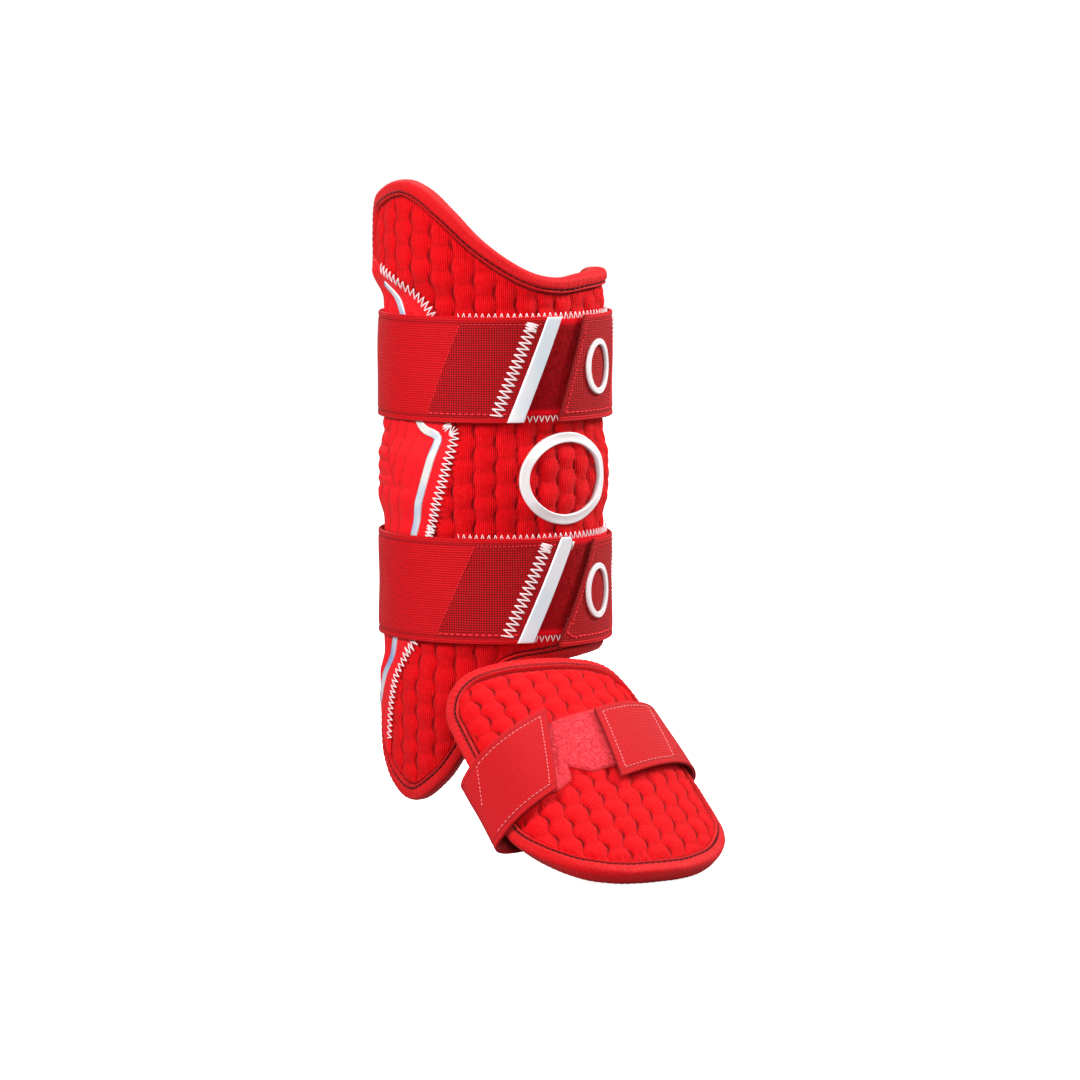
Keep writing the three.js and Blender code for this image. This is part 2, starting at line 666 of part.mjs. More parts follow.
/** The foot's loop patch. */
function footPatch() {
  const line = (row, column) => new THREE.Vector2(row.across * FOOT_HALF_WIDTH, row[column] * FOOT_LENGTH);
  const grid = FOOT_PATCH.slice(1).flatMap((row, index) => {
    const before = FOOT_PATCH[index];
    return steps(2).slice(index ? 1 : 0).map((share) => {
      const near = line(before, "near").lerp(line(row, "near"), share);
      const far = line(before, "far").lerp(line(row, "far"), share);
      return steps(3).map((over) => near.clone().lerp(far, over));
    });
  });
  return sheetOn(onFoot, grid, deepened(LOOP_LAYER));
}

/** The web from inside the shin's lower edge to the underside of the foot guard. */
function footLink() {
  const lift = BINDING_LAYER.low - LINK_GAP - LINK_THICKNESS / 2;
  const hem = LOWEST_HEM * SHIN_HEIGHT;
  const grid = steps(4).map((share) => {
    const arc = arcAt(mix(...LINK.turn, share));
    const width = mix(...LINK.across, share);
    const route = [
      onShin(arc, hem + LINK.overlap, lift),
      onShin(arc, hem + LINK.slack, lift),
      onShin(arc, hem - LINK.slack, lift),
      onFoot(width, LINK.slack, lift),
      onFoot(width, LINK.overlap, lift),
    ];
    return new THREE.CatmullRomCurve3(route).getPoints(8);
  });
  return bandAround(grid, LINK_THICKNESS);
}

function piece(name, slot, geometry) {
  const mesh = new THREE.Mesh(geometry, new THREE.MeshStandardMaterial(MATERIALS[slot]));
  mesh.name = name;
  return mesh;
}

const shin = shinSides();
const foot = footSides();
const shinRoll = rollOn(onShin, wholeEdge(shin), BINDING_WIDTH, BINDING_LAYER, ROLL_SIDES);
const footRoll = rollOn(onFootPlan, wholeEdge(foot), BINDING_WIDTH, BINDING_LAYER, ROLL_SIDES);
const shinBase = { place: onShin, grid: fill(shin, PAD_INSET), high: PAD_LAYER.high };
const panelBase = { place: onShin, grid: panelGrid(shin), high: PANEL_LAYER.high };
const footBase = { place: onFootPlan, grid: fill(foot, PAD_INSET), high: PAD_LAYER.high };
const legGuard = new THREE.Group();
legGuard.add(
  piece("shin_pad", "quilt", sheetOn(onShin, shinBase.grid, PAD_LAYER)),
  piece("shin_binding", "binding", shinRoll),
  piece("side_panel", "panel", seatedOn(shinBase, sheetOn(onShin, panelBase.grid, deepened(PANEL_LAYER)))),
  piece("side_trim", "silver", seatedOn(panelBase, sheetOn(onShin, trimGrid(), deepened(TRIM_LAYER)))),
  piece("front_emblem", "rubber", seatedOn(shinBase, frontRing())),
  ...CALF_STRAPS.flatMap(calfStrap),
  piece("foot_pad", "quilt", sheetOn(onFootPlan, footBase.grid, PAD_LAYER)),
  piece("foot_binding", "binding", footRoll),
  piece("foot_loop_patch", "loop", seatedOn(footBase, footPatch())),
  piece("foot_hook_left", "hook", footHook(FOOT_STRAP_ENDS.left, -20)),
  piece("foot_hook_right", "hook", footHook(FOOT_STRAP_ENDS.right, 20)),
  piece("foot_strap", "elastic", footStrap()),
  piece("foot_link", "elastic", footLink()),
);

export default legGuard;
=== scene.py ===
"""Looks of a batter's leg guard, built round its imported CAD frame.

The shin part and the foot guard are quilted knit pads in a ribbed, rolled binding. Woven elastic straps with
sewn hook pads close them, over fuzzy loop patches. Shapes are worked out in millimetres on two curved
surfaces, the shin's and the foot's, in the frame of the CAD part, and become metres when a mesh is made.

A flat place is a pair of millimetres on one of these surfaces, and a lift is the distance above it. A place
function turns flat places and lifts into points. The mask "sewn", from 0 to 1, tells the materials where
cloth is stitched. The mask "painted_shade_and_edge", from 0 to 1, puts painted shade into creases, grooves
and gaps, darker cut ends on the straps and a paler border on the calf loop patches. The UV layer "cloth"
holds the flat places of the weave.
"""

import logging
from abc import ABC, abstractmethod
from collections.abc import Callable, Sequence
from dataclasses import dataclass, field
from enum import Enum
from typing import ClassVar

import bpy
import numpy as np
from mathutils import Matrix, Vector


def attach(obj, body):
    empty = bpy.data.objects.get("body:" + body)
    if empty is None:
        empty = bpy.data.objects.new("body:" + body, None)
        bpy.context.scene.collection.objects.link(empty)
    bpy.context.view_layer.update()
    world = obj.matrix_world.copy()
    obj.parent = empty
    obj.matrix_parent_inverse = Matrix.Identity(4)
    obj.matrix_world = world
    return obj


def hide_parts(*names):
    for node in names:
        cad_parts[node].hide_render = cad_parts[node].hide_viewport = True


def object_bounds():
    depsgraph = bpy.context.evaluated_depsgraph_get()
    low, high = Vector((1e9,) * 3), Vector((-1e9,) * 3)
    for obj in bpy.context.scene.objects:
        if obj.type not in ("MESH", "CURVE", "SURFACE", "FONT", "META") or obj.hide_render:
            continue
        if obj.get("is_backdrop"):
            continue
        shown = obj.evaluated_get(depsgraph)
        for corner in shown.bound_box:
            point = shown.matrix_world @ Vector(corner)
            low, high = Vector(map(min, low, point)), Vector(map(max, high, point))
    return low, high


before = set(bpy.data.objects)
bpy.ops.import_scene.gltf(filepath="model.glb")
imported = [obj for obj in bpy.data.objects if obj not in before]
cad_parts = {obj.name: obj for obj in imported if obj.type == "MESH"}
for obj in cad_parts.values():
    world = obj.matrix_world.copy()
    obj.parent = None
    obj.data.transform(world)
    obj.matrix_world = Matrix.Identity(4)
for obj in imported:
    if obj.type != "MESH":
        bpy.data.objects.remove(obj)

cad_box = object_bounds()
log = logging.getLogger("leg_guard")

Array = np.ndarray
Place = Callable[[Array, Array, Array], Array]
METRES = 0.001


RIPPLE_WAVES = ((1.0, 0.4, 1.0, 1.0), (-0.6, 1.3, 2.1, 1.0), (2.2, -1.98, 3.7, 0.6), (0.52, 2.6, 5.3, 0.6))
CORNER_STEPS = np.array([0, 0.08, 0.3, 0.62, 1.0])
SHEEN_SPREAD = 0.45
SHEEN_TINT = (1.0, 0.3, 0.3, 1.0)
WHITE = (1.0, 1.0, 1.0, 1.0)


class Weave(Enum):
    """How the threads of a band lie: ribs, ribs with pinholes where it is sewn, or pinholes all over."""

    RIBS = "ribs"
    SEWN = "sewn"
    GRID = "grid"


def rise(value: Array | float, low: float, high: float) -> Array:
    """Smooth step: 0 below low, 1 above high, and 3t^2 - 2t^3 between them.

    Args:
        value: Places to read.
        low: Where the step starts.
        high: Where it ends.

    Returns:
        The step at each place.
    """
    part = np.clip((np.asarray(value, float) - low) / (high - low), 0, 1)
    return part * part * (3 - 2 * part)


def mix(start: Array | float, end: Array | float, share: Array | float) -> Array:
    """Start plus the share of the way to end."""
    return start + (end - start) * share


def bell(value: Array, width: float) -> Array:
    """Bell curve: e to the minus (value / width) squared."""
    return np.exp(-((value / width) ** 2))


def ripple(x: Array, y: Array, pitch: float, seed: float) -> Array:
    """Soft uneven waves: four sines of different directions and pitches, added and scaled to within 1.

    Each wave is a share of x, a share of y, a share of the seed, and how high it stands.

    Args:
        x: First coordinate in millimetres.
        y: Second coordinate in millimetres.
        pitch: Longest wave in millimetres.
        seed: Phase that makes one surface unlike another.

    Returns:
        The wave's height at each place.
    """
    turns = 2 * np.pi / pitch
    waves = (high * np.sin(turns * (a * x + b * y) + phase * seed) for a, b, phase, high in RIPPLE_WAVES)
    return sum(waves) / sum(wave[-1] for wave in RIPPLE_WAVES)


def unit(vectors: Array) -> Array:
    """Vectors scaled to length 1."""
    return vectors / np.maximum(np.linalg.norm(vectors, axis=-1, keepdims=True), 1e-9)


def graded(length: float, pitch: float, corner: float) -> Array:
    """Distances from 0 to length, close together at both ends so that a rounded edge can be drawn.

    Args:
        length: The whole distance.
        pitch: Step in the middle.
        corner: Radius of the rounded edge.

    Returns:
        Rising distances.
    """
    close = corner * CORNER_STEPS
    count = max(int(round((length - 2 * corner) / pitch)), 2)
    middle = np.linspace(corner, length - corner, count + 1)[1:-1]
    return np.concatenate([close, middle, length - close[::-1]])


def rounding(distance: Array, corner: float) -> Array:
    """Share of a sheet's thickness at a distance from its edge, a quarter circle down to a tenth."""
    part = 1 - np.clip(distance / corner, 0, 1)
    return np.maximum(np.sqrt(1 - part**2), 0.1)


@dataclass
class Shape:
    """A mesh in the making: millimetre points, faces, the flat place of each face corner, and masks."""

    points: Array
    quads: Array
    flat: Array | None = None
    masks: dict[str, Array] = field(default_factory=dict)
    tris: Array = field(default_factory=lambda: np.zeros((0, 3), int))

    @staticmethod
    def joined(shapes: Sequence["Shape"]) -> "Shape":
        """One shape that holds several, without their flat places and masks.

        Args:
            shapes: The shapes to join.

        Returns:
            The joined shape.
        """
        starts = np.cumsum([0] + [len(shape.points) for shape in shapes])
        return Shape(
            np.concatenate([shape.points for shape in shapes]),
            np.concatenate([shape.quads + start for shape, start in zip(shapes, starts)]),
            tris=np.concatenate([shape.tris + start for shape, start in zip(shapes, starts)]),
        )

    def outward(self) -> "Shape":
        """The shape with its faces turned outward: the summed signed volume of its faces is positive.

        Returns:
            This shape.
        """
        corners = self.points[self.quads]
        signed = np.cross(corners[:, 1] - corners[:, 0], corners[:, 2] - corners[:, 0])
        signed = signed + np.cross(corners[:, 2] - corners[:, 0], corners[:, 3] - corners[:, 0])
        if np.sum(signed * corners[:, 0]) < 0:
            self.quads = self.quads[:, ::-1]
            self.tris = self.tris[:, ::-1]
            if self.flat is not None:
                quad_corners = self.flat[: 4 * len(self.quads)].reshape(-1, 4, 2)[:, ::-1]
                tri_corners = self.flat[4 * len(self.quads) :].reshape(-1, 3, 2)[:, ::-1]
                self.flat = np.concatenate([quad_corners.reshape(-1, 2), tri_corners.reshape(-1, 2)])
        return self

    def mesh(self, name: str) -> bpy.types.Mesh:
        """The Blender mesh of this shape, in metres, smooth shaded.

        Args:
            name: The mesh's name.

        Returns:
            The mesh.
        """
        made = bpy.data.meshes.new(name)
        corners = np.concatenate([self.quads.ravel(), self.tris.ravel()]).astype(np.int32)
        sizes = np.concatenate([np.full(len(self.quads), 4), np.full(len(self.tris), 3)]).astype(np.int32)
        made.vertices.add(len(self.points))
        made.vertices.foreach_set("co", (self.points * METRES).astype(np.float32).ravel())
        made.loops.add(len(corners))
        made.loops.foreach_set("vertex_index", corners)
        made.polygons.add(len(sizes))
        made.polygons.foreach_set("loop_start", (np.cumsum(sizes) - sizes).astype(np.int32))
        made.polygons.foreach_set("loop_total", sizes)
        made.update(calc_edges=True)
        made.polygons.foreach_set("use_smooth", np.ones(len(sizes), bool))
        if self.flat is not None:
            layer = made.uv_layers.new(name="cloth")
            layer.data.foreach_set("uv", self.flat.astype(np.float32).ravel())
        for key, values in self.masks.items():
            attribute = made.attributes.new(key, "FLOAT", "POINT")
            attribute.data.foreach_set("value", values.astype(np.float32).ravel())
        made.validate()
        return made


def add_object(name: str, data: bpy.types.ID) -> bpy.types.Object:
    """A new object of some data, linked into the scene.

    Args:
        name: The object's name.
        data: Its mesh, light or camera.

    Returns:
        The object.
    """
    made = bpy.data.objects.new(name, data)
    bpy.context.scene.collection.objects.link(made)
    return made


def grid_faces(
    rows: int, columns: int, closed_rows: bool = False, closed_columns: bool = False
) -> tuple[Array, Array, Array]:
    """Quads of a grid of points, with the row and column that each corner reads before it wraps round.

    Args:
        rows: Rows of points.
        columns: Columns of points.
        closed_rows: Whether the last row joins the first.
        closed_columns: Whether the last column joins the first.

    Returns:
        Quads as point numbers, and the unwrapped row and column of each of their corners.
    """
    row, column = np.meshgrid(
        np.arange(rows if closed_rows else rows - 1),
        np.arange(columns if closed_columns else columns - 1),
        indexing="ij",
    )
    row, column = row.ravel(), column.ravel()
    corner_row = np.stack([row, row, row + 1, row + 1], 1)
    corner_column = np.stack([column, column + 1, column + 1, column], 1)
    return (corner_row % rows) * columns + corner_column % columns, corner_row, corner_column


def rim_numbers(rows: int, columns: int) -> Array:
    """Numbers of the points once round the rim of a grid."""
    number = np.arange(rows * columns).reshape(rows, columns)
    return np.concatenate([number[0, :-1], number[:-1, -1], number[-1, :0:-1], number[:0:-1, 0]])


def laid(place: Place, flat: Array, lift: Array | float) -> Array:
    """Points of flat places at a lift."""
    return place(flat[..., 0], flat[..., 1], np.asarray(lift, float))


def sheet_shape(
    place: Place, flat: Array, low: Array, high: Array, masks: dict[str, Array] | None = None
) -> Shape:
    """A closed sheet over a grid of flat places, with one side at the high lift and one at the low.

    Args:
        place: Curved surface that takes the flat places and a lift.
        flat: Grid of flat places, rows by columns by 2.
        low: Lift of the under side at each place.
        high: Lift of the upper side at each place.
        masks: Numbers for the materials at each place.

    Returns:
        The closed shape.
    """
    rows, columns = flat.shape[:2]
    count = rows * columns
    points = np.concatenate([laid(place, flat, lift).reshape(-1, 3) for lift in (high, low)])
    upper, _, _ = grid_faces(rows, columns)
    rim = rim_numbers(rows, columns)
    after = np.roll(rim, -1)
    walls = np.stack([rim, rim + count, after + count, after], 1)
    quads = np.concatenate([upper, upper[:, ::-1] + count, walls])
    places = np.tile(flat.reshape(-1, 2), (2, 1))
    doubled = {key: np.tile(values.ravel(), 2) for key, values in (masks or {}).items()}
    return Shape(points, quads, places[quads].reshape(-1, 2), doubled).outward()


def layer_shape(
    place: Place,
    flat: Array,
    layer: tuple[float, float],
    thick: Array,
    relief: Array | float = 0.0,
    masks: dict[str, Array] | None = None,
) -> Shape:
    """A closed sheet that fills a layer, thinner towards its edges, with relief on its upper side.

    Args:
        place: Curved surface that carries it.
        flat: Grid of flat places.
        layer: Low and high lift of the layer.
        thick: Share of the layer that the sheet fills at each place.
        relief: Lift added on the upper side.
        masks: Numbers for the materials at each place.

    Returns:
        The closed shape.
    """
    low = np.full(flat.shape[:2], layer[0])
    return sheet_shape(place, flat, low, low + (layer[1] - layer[0]) * thick + relief, masks)


def along_normals(middle: Array, normal: Array) -> Place:
    """A place function that moves a grid of points by a lift along its normals, whatever the flat places.

    Args:
        middle: Grid of points.
        normal: Unit vectors at them.

    Returns:
        The place function.
    """

    def lifted(_: Array, __: Array, lift: Array) -> Array:
        """The grid of points, moved."""
        return middle + normal * lift[..., None]

    return lifted


def roll_shape(points: Array, along: Array, around: Array) -> Shape:
    """A closed ring from sections of points, joined round each section and along the path.

    Args:
        points: Sections by points by 3.
        along: Distance of each section along the path, with one more at the end.
        around: Distance of each point round its section, with one more at the end.

    Returns:
        The closed shape with (along, around) as its flat places.
    """
    quads, row, column = grid_faces(*points.shape[:2], True, True)
    flat = np.stack([along[row], around[column]], -1).reshape(-1, 2)
    return Shape(points.reshape(-1, 3), quads, flat).outward()


@dataclass(frozen=True)
class Thread:
    """A sewing thread or a fibre: its radius, how far it arches up, and how finely it is drawn."""

    radius: float
    bow: float
    sides: int = 6
    rings: int = 7

    def shape(self, place: Place, starts: Array, ends: Array, lift: float) -> Shape:
        """Short threads over a surface, each a tube that arches between its two ends and thins as it goes in.

        The lift along a thread is the base lift plus the bow times the square root of the sine of its share,
        less half a radius. Its radius follows the fourth root of the same sine.

        Args:
            place: Curved surface that carries the threads.
            starts: Flat places where the threads come out.
            ends: Flat places where they go in.
            lift: Lift of the surface that they lie on.

        Returns:
            All the threads as one shape.
        """
        share = np.linspace(0, 1, self.rings)
        arch = np.sqrt(np.sin(np.pi * np.clip(share, 0.03, 0.97)))
        flat = starts[:, None] + (ends - starts)[:, None] * share[None, :, None]
        height = np.broadcast_to(lift - self.radius / 2 + self.bow * arch, flat.shape[:2])
        centre = laid(place, flat, height)
        above = unit(laid(place, flat, height + 1) - centre)
        along = unit(np.gradient(centre, axis=1))
        beside = unit(np.cross(along, above))
        above = np.cross(beside, along)
        angle = np.linspace(0, 2 * np.pi, self.sides, endpoint=False)[:, None]
        ring = np.cos(angle) * beside[:, :, None] + np.sin(angle) * above[:, :, None]
        points = centre[:, :, None] + (self.radius * np.sqrt(arch))[None, :, None, None] * ring
        quads, _, _ = grid_faces(self.rings, self.sides, closed_columns=True)
        size = self.rings * self.sides
        fan = np.array([[0, near, near + 1] for near in range(1, self.sides - 1)])
        caps = np.concatenate([fan[:, ::-1], fan + size - self.sides])
        first = (np.arange(len(starts)) * size)[:, None, None]
        quads, tris = (quads[None] + first).reshape(-1, 4), (caps[None] + first).reshape(-1, 3)
        return Shape(points.reshape(-1, 3), quads, tris=tris).outward()

    def pile(
        self, place: Place, starts: Array, lift: float, reach: tuple[float, float], draw: np.random.Generator
    ) -> Shape:
        """Loose loops that start at flat places and lie in drawn directions.

        Args:
            place: Curved surface that carries them.
            starts: Flat places where they come out.
            lift: Lift of the pile.
            reach: Shortest and longest loop.
            draw: Source of the drawn headings and lengths.

        Returns:
            All the loops as one shape.
        """
        heading = draw.uniform(0, 2 * np.pi, len(starts))
        length = draw.uniform(*reach, len(starts))[:, None]
        ends = starts + length * np.stack([np.cos(heading), np.sin(heading)], 1)
        return self.shape(place, starts, ends, lift)


def run_lengths(line: Array) -> Array:
    """Distance of each point of a line from its start."""
    return np.concatenate([[0], np.cumsum(np.linalg.norm(np.diff(line, axis=0), axis=1))])


def spaced(line: Array, pitch: float) -> tuple[Array, Array]:
    """Places at even steps along a flat line, and the unit vector to its left at each.

    Args:
        line: Flat points of the line.
        pitch: About how far apart the places are.

    Returns:
        The places and the sideways vectors.
    """
    lengths = run_lengths(line)
    count = max(int(round(lengths[-1] / pitch)), 2)
    wanted = np.linspace(0, lengths[-1], count + 1)
    spots = np.stack([np.interp(wanted, lengths, line[:, axis]) for axis in (0, 1)], 1)
    forward = unit(np.gradient(spots, axis=0))
    return spots, np.stack([-forward[:, 1], forward[:, 0]], 1)


@dataclass(frozen=True)
class Stitch:
    """A kind of sewing: its thread, the width of a zigzag or the length of a dash, and its pitch."""

    thread: Thread
    size: float
    pitch: float

    def zigzag(self, place: Place, line: Array, lift: float) -> Shape:
        """A zigzag along a flat line, swinging half its width to either side, with two legs for each pitch.

        Args:
            place: Curved surface that carries it.
            line: Flat points of the middle line.
            lift: Lift of the surface that it lies on.

        Returns:
            All the legs as one shape.
        """
        spots, beside = spaced(line, self.pitch / 2)
        swing = np.where(np.arange(len(spots)) % 2, 0.5, -0.5)[:, None] * self.size
        turns = spots + beside * swing
        return self.thread.shape(place, turns[:-1], turns[1:], lift)

    def dashes(self, place: Place, line: Array, lift: float) -> Shape:
        """Straight stitches along a flat line, one for each pitch.

        Args:
            place: Curved surface that carries them.
            line: Flat points of the line.
            lift: Lift of the surface that they lie on.

        Returns:
            All the stitches as one shape.
        """
        starts, beside = spaced(line, self.pitch)
        forward = np.stack([beside[:, 1], -beside[:, 0]], 1)
        return self.thread.shape(place, starts[:-1], starts[:-1] + forward[:-1] * self.size, lift)


def cubic(start: Array, end: Array, first: Array, last: Array, share: Array) -> Array:
    """Places at shares of the cubic from a start to an end that leaves along first and arrives along last.

    Args:
        start: Where it starts.
        end: Where it ends.
        first: Its slope at the start.
        last: Its slope at the end.
        share: Shares of the way.

    Returns:
        Places on the cubic.
    """
    return (
        start
        + first * share
        + (3 * (end - start) - 2 * first - last) * share**2
        + (2 * (start - end) + first + last) * share**3
    )


def open_curve(points: Array, samples: int = 24) -> Array:
    """Smooth open line through flat points: a uniform Catmull-Rom spline, with the end points doubled.

    Args:
        points: Flat points to pass through.
        samples: Places for each span.

    Returns:
        Flat places along it.
    """
    padded = np.concatenate([points[:1], points, points[-1:]])[:, None]
    before, start, end, after = padded[:-3], padded[1:-2], padded[2:-1], padded[3:]
    share = np.linspace(0, 1, samples, endpoint=False)[None, :, None]
    curve = cubic(start, end, (end - before) / 2, (after - start) / 2, share)
    return np.concatenate([curve.reshape(-1, 2), points[-1:]])


class Outline:
    """A closed flat edge: the centripetal Catmull-Rom curve through a table of points, with four corners."""

    SAMPLES = 160
    NEAR = 1.5

    def __init__(self, points: Array, corners: Sequence[int]) -> None:
        """Samples the curve and measures it.

        Args:
            points: Flat points, clockwise.
            corners: Numbers of the points that start a side.
        """
        start = points[:, None]
        before, end, after = (np.roll(start, shift, 0) for shift in (1, -1, -2))
        gaps = [start - before, end - start, after - end]
        knots = [np.sqrt(np.linalg.norm(gap, axis=2, keepdims=True)) for gap in gaps]
        slopes = [gap / knot for gap, knot in zip(gaps, knots)]
        first = slopes[0] - (gaps[0] + gaps[1]) / (knots[0] + knots[1]) + slopes[1]
        last = slopes[1] - (gaps[1] + gaps[2]) / (knots[1] + knots[2]) + slopes[2]
        share = np.linspace(0, 1, self.SAMPLES, endpoint=False)[None, :, None]
        curve = cubic(start, end, first * knots[1], last * knots[1], share).reshape(-1, 2)
        self.curve = np.concatenate([curve, curve[:1]])
        self.lengths = run_lengths(self.curve)
        self.total = float(self.lengths[-1])
        self.corner_at = self.lengths[np.array(corners) * self.SAMPLES]

    def inside(self, distance: Array, inset: Array | float) -> Array:
        """Flat places at distances along the edge and an inset from it.

        Args:
            distance: Distances along the edge.
            inset: How far inside it.

        Returns:
            Flat places.
        """
        def read(at: Array) -> Array:
            """Places on the edge itself."""
            return np.stack([np.interp(at % self.total, self.lengths, axis) for axis in self.curve.T], -1)

        forward = unit(read(distance + self.NEAR) - read(distance - self.NEAR))
        inward = np.stack([forward[..., 1], -forward[..., 0]], -1)
        return read(distance) + inward * np.asarray(inset, float)[..., None]

    def side(self, number: int, count: int, inset: float) -> Array:
        """Even places along one side at an inset.

        Args:
            number: Which side, 0 to 3.
            count: Steps along it.
            inset: How far inside the edge.

        Returns:
            Flat places.
        """
        start = self.corner_at[number]
        end = self.corner_at[(number + 1) % 4]
        end = end + self.total if end <= start else end
        return self.inside(np.linspace(start, end, count + 1), inset)

    def filled(self, rows: int, columns: int, inset: float) -> Array:
        """A grid of flat places inside the edge: a Coons patch, each side's blend less the corners' blend.

        Args:
            rows: Steps down the patch.
            columns: Steps across it.
            inset: How far inside the edge its border lies.

        Returns:
            Rows + 1 by columns + 1 by 2.
        """
        top, right = self.side(0, columns, inset), self.side(1, rows, inset)
        bottom, left = self.side(2, columns, inset)[::-1], self.side(3, rows, inset)[::-1]
        down = np.linspace(0, 1, rows + 1)[:, None, None]
        over = np.linspace(0, 1, columns + 1)[None, :, None]
        corners = mix(mix(top[0], top[-1], over), mix(bottom[0], bottom[-1], over), down)
        return mix(top[None], bottom[None], down) + mix(left[:, None], right[:, None], over) - corners


@dataclass(frozen=True)
class ShinForm:
    """Outer face of the shin padding as the CAD part has it, unrolled to (arc from the front, height)."""

    radius: float = 62.0
    height: float = 337.5
    strap_width: float = 57.0
    strap_spacing: float = 119.0
    strap_drop: float = 2.8
    strap_sink: float = 2.8
    strap_margin: float = 6.0
    strap_fade: float = 14.0
    side_flare: float = 4.0
    front_lip: float = 2.5
    front_hem: float = 3.5
    rim_rise: float = 18.0
    hem_rise: float = 15.0
    back_depth: float = 5.0
    back_turn: float = 206.0
    back_reach: float = 72.0
    outer_turns: tuple[float, float] = (45.0, 90.0)

    def arc(self, turn: Array | float) -> Array:
        """Arc length at a turn in degrees."""
        return np.radians(turn) * self.radius

    def pressed(self, z: Array) -> Array:
        """1 where a strap presses the padding in, falling to 0 above and below it.

        Args:
            z: Heights.

        Returns:
            The share at each height.
        """
        reach = (self.strap_width + self.strap_drop) / 2 + self.strap_margin
        upper = np.abs(z - self.strap_spacing / 2)
        lower = np.abs(z + (self.strap_spacing + self.strap_drop) / 2)
        return 1 - rise(np.minimum(upper, lower), reach, reach + self.strap_fade)

    def place(self, arc: Array, z: Array, lift: Array) -> Array:
        """Points at an arc length, a height and a lift: the radius turned round the leg's upright axis.

        Args:
            arc: Arc length from the front towards the outer side.
            z: Height.
            lift: Distance above the padding's face.

        Returns:
            Points in the row frame, in millimetres.
        """
        arc, z = np.broadcast_arrays(arc, z)
        turn = np.degrees(arc / self.radius)
        outer = rise(turn, *self.outer_turns)
        strap_end = (self.strap_spacing + self.strap_width) / 2
        rim_start = strap_end + self.strap_margin
        rim = rise(z, rim_start, rim_start + self.rim_rise)
        lean = mix(-self.front_lip, self.side_flare, outer) * rim
        hem = self.front_hem * (1 - outer) * rise(-z, strap_end, strap_end + self.hem_rise)
        behind = rise(self.back_reach - np.abs(turn - self.back_turn), 0, self.back_reach)
        sunk = self.strap_sink * self.pressed(z) + hem + self.back_depth * behind
        radius = self.radius + lean - sunk + lift
        angle = arc / self.radius
        return np.stack([-radius * np.sin(angle), -radius * np.cos(angle), z + 0 * radius], -1)


@dataclass(frozen=True)
class FootForm:
    """Face of the foot guard as the CAD part has it, unrolled to (width, minus length from its rear)."""

    length: float = 166.0
    half_width: float = 70.9
    reach: float = 63.4
    level: float = -95.7
    side: float = -10.5
    yaw: float = 10.9
    rear_dip: float = 29.0
    toe_dip: float = 42.7
    rear_arch: float = 74.3
    toe_arch: float = 56.1
    early: float = 0.26
    slices: int = 10

    def place(self, width: Array, back: Array, lift: Array) -> Array:
        """Points on the guard: a ridge that dips towards the toes, with sides that arch down from it.

        The slope of a side grows as its early share times the width plus the rest times the width cubed. The
        cosine and the sine of that slope are summed over ten slices from the ridge outward.

        Args:
            width: Distance from the ridge along the arch, towards +X.
            back: Minus the distance from the rear edge.
            lift: Distance above the face.

        Returns:
            Points in the row frame, in millimetres.
        """
        width, back, lift = np.broadcast_arrays(width, back, lift)
        length = -back
        share = length / self.length
        dip = np.radians(mix(self.rear_dip, self.toe_dip, share))
        mean_dip = np.radians(mix(self.rear_dip, self.toe_dip, share / 2))
        side_slope = np.radians(mix(self.rear_arch, self.toe_arch, share))

        def slope(part: Array, steepest: Array) -> Array:
            """Slope at a part of the half width."""
            return steepest * (self.early * part + (1 - self.early) * part**3)

        middles = (np.arange(self.slices) + 0.5) / self.slices
        inner = slope(width[..., None] * middles / self.half_width, side_slope[..., None])
        last = slope(width / self.half_width, side_slope)
        out = np.cos(inner).sum(-1) * width / self.slices + lift * np.sin(last)
        down = np.sin(inner).sum(-1) * width / self.slices - lift * np.cos(last)
        yaw = np.radians(self.yaw)
        ahead = self.reach + length * np.cos(mean_dip) - down * np.sin(dip)
        across = self.side + out
        return np.stack(
            [
                across * np.cos(yaw) - ahead * np.sin(yaw),
                -across * np.sin(yaw) - ahead * np.cos(yaw),
                self.level - length * np.sin(mean_dip) - down * np.cos(dip),
            ],
            -1,
        )


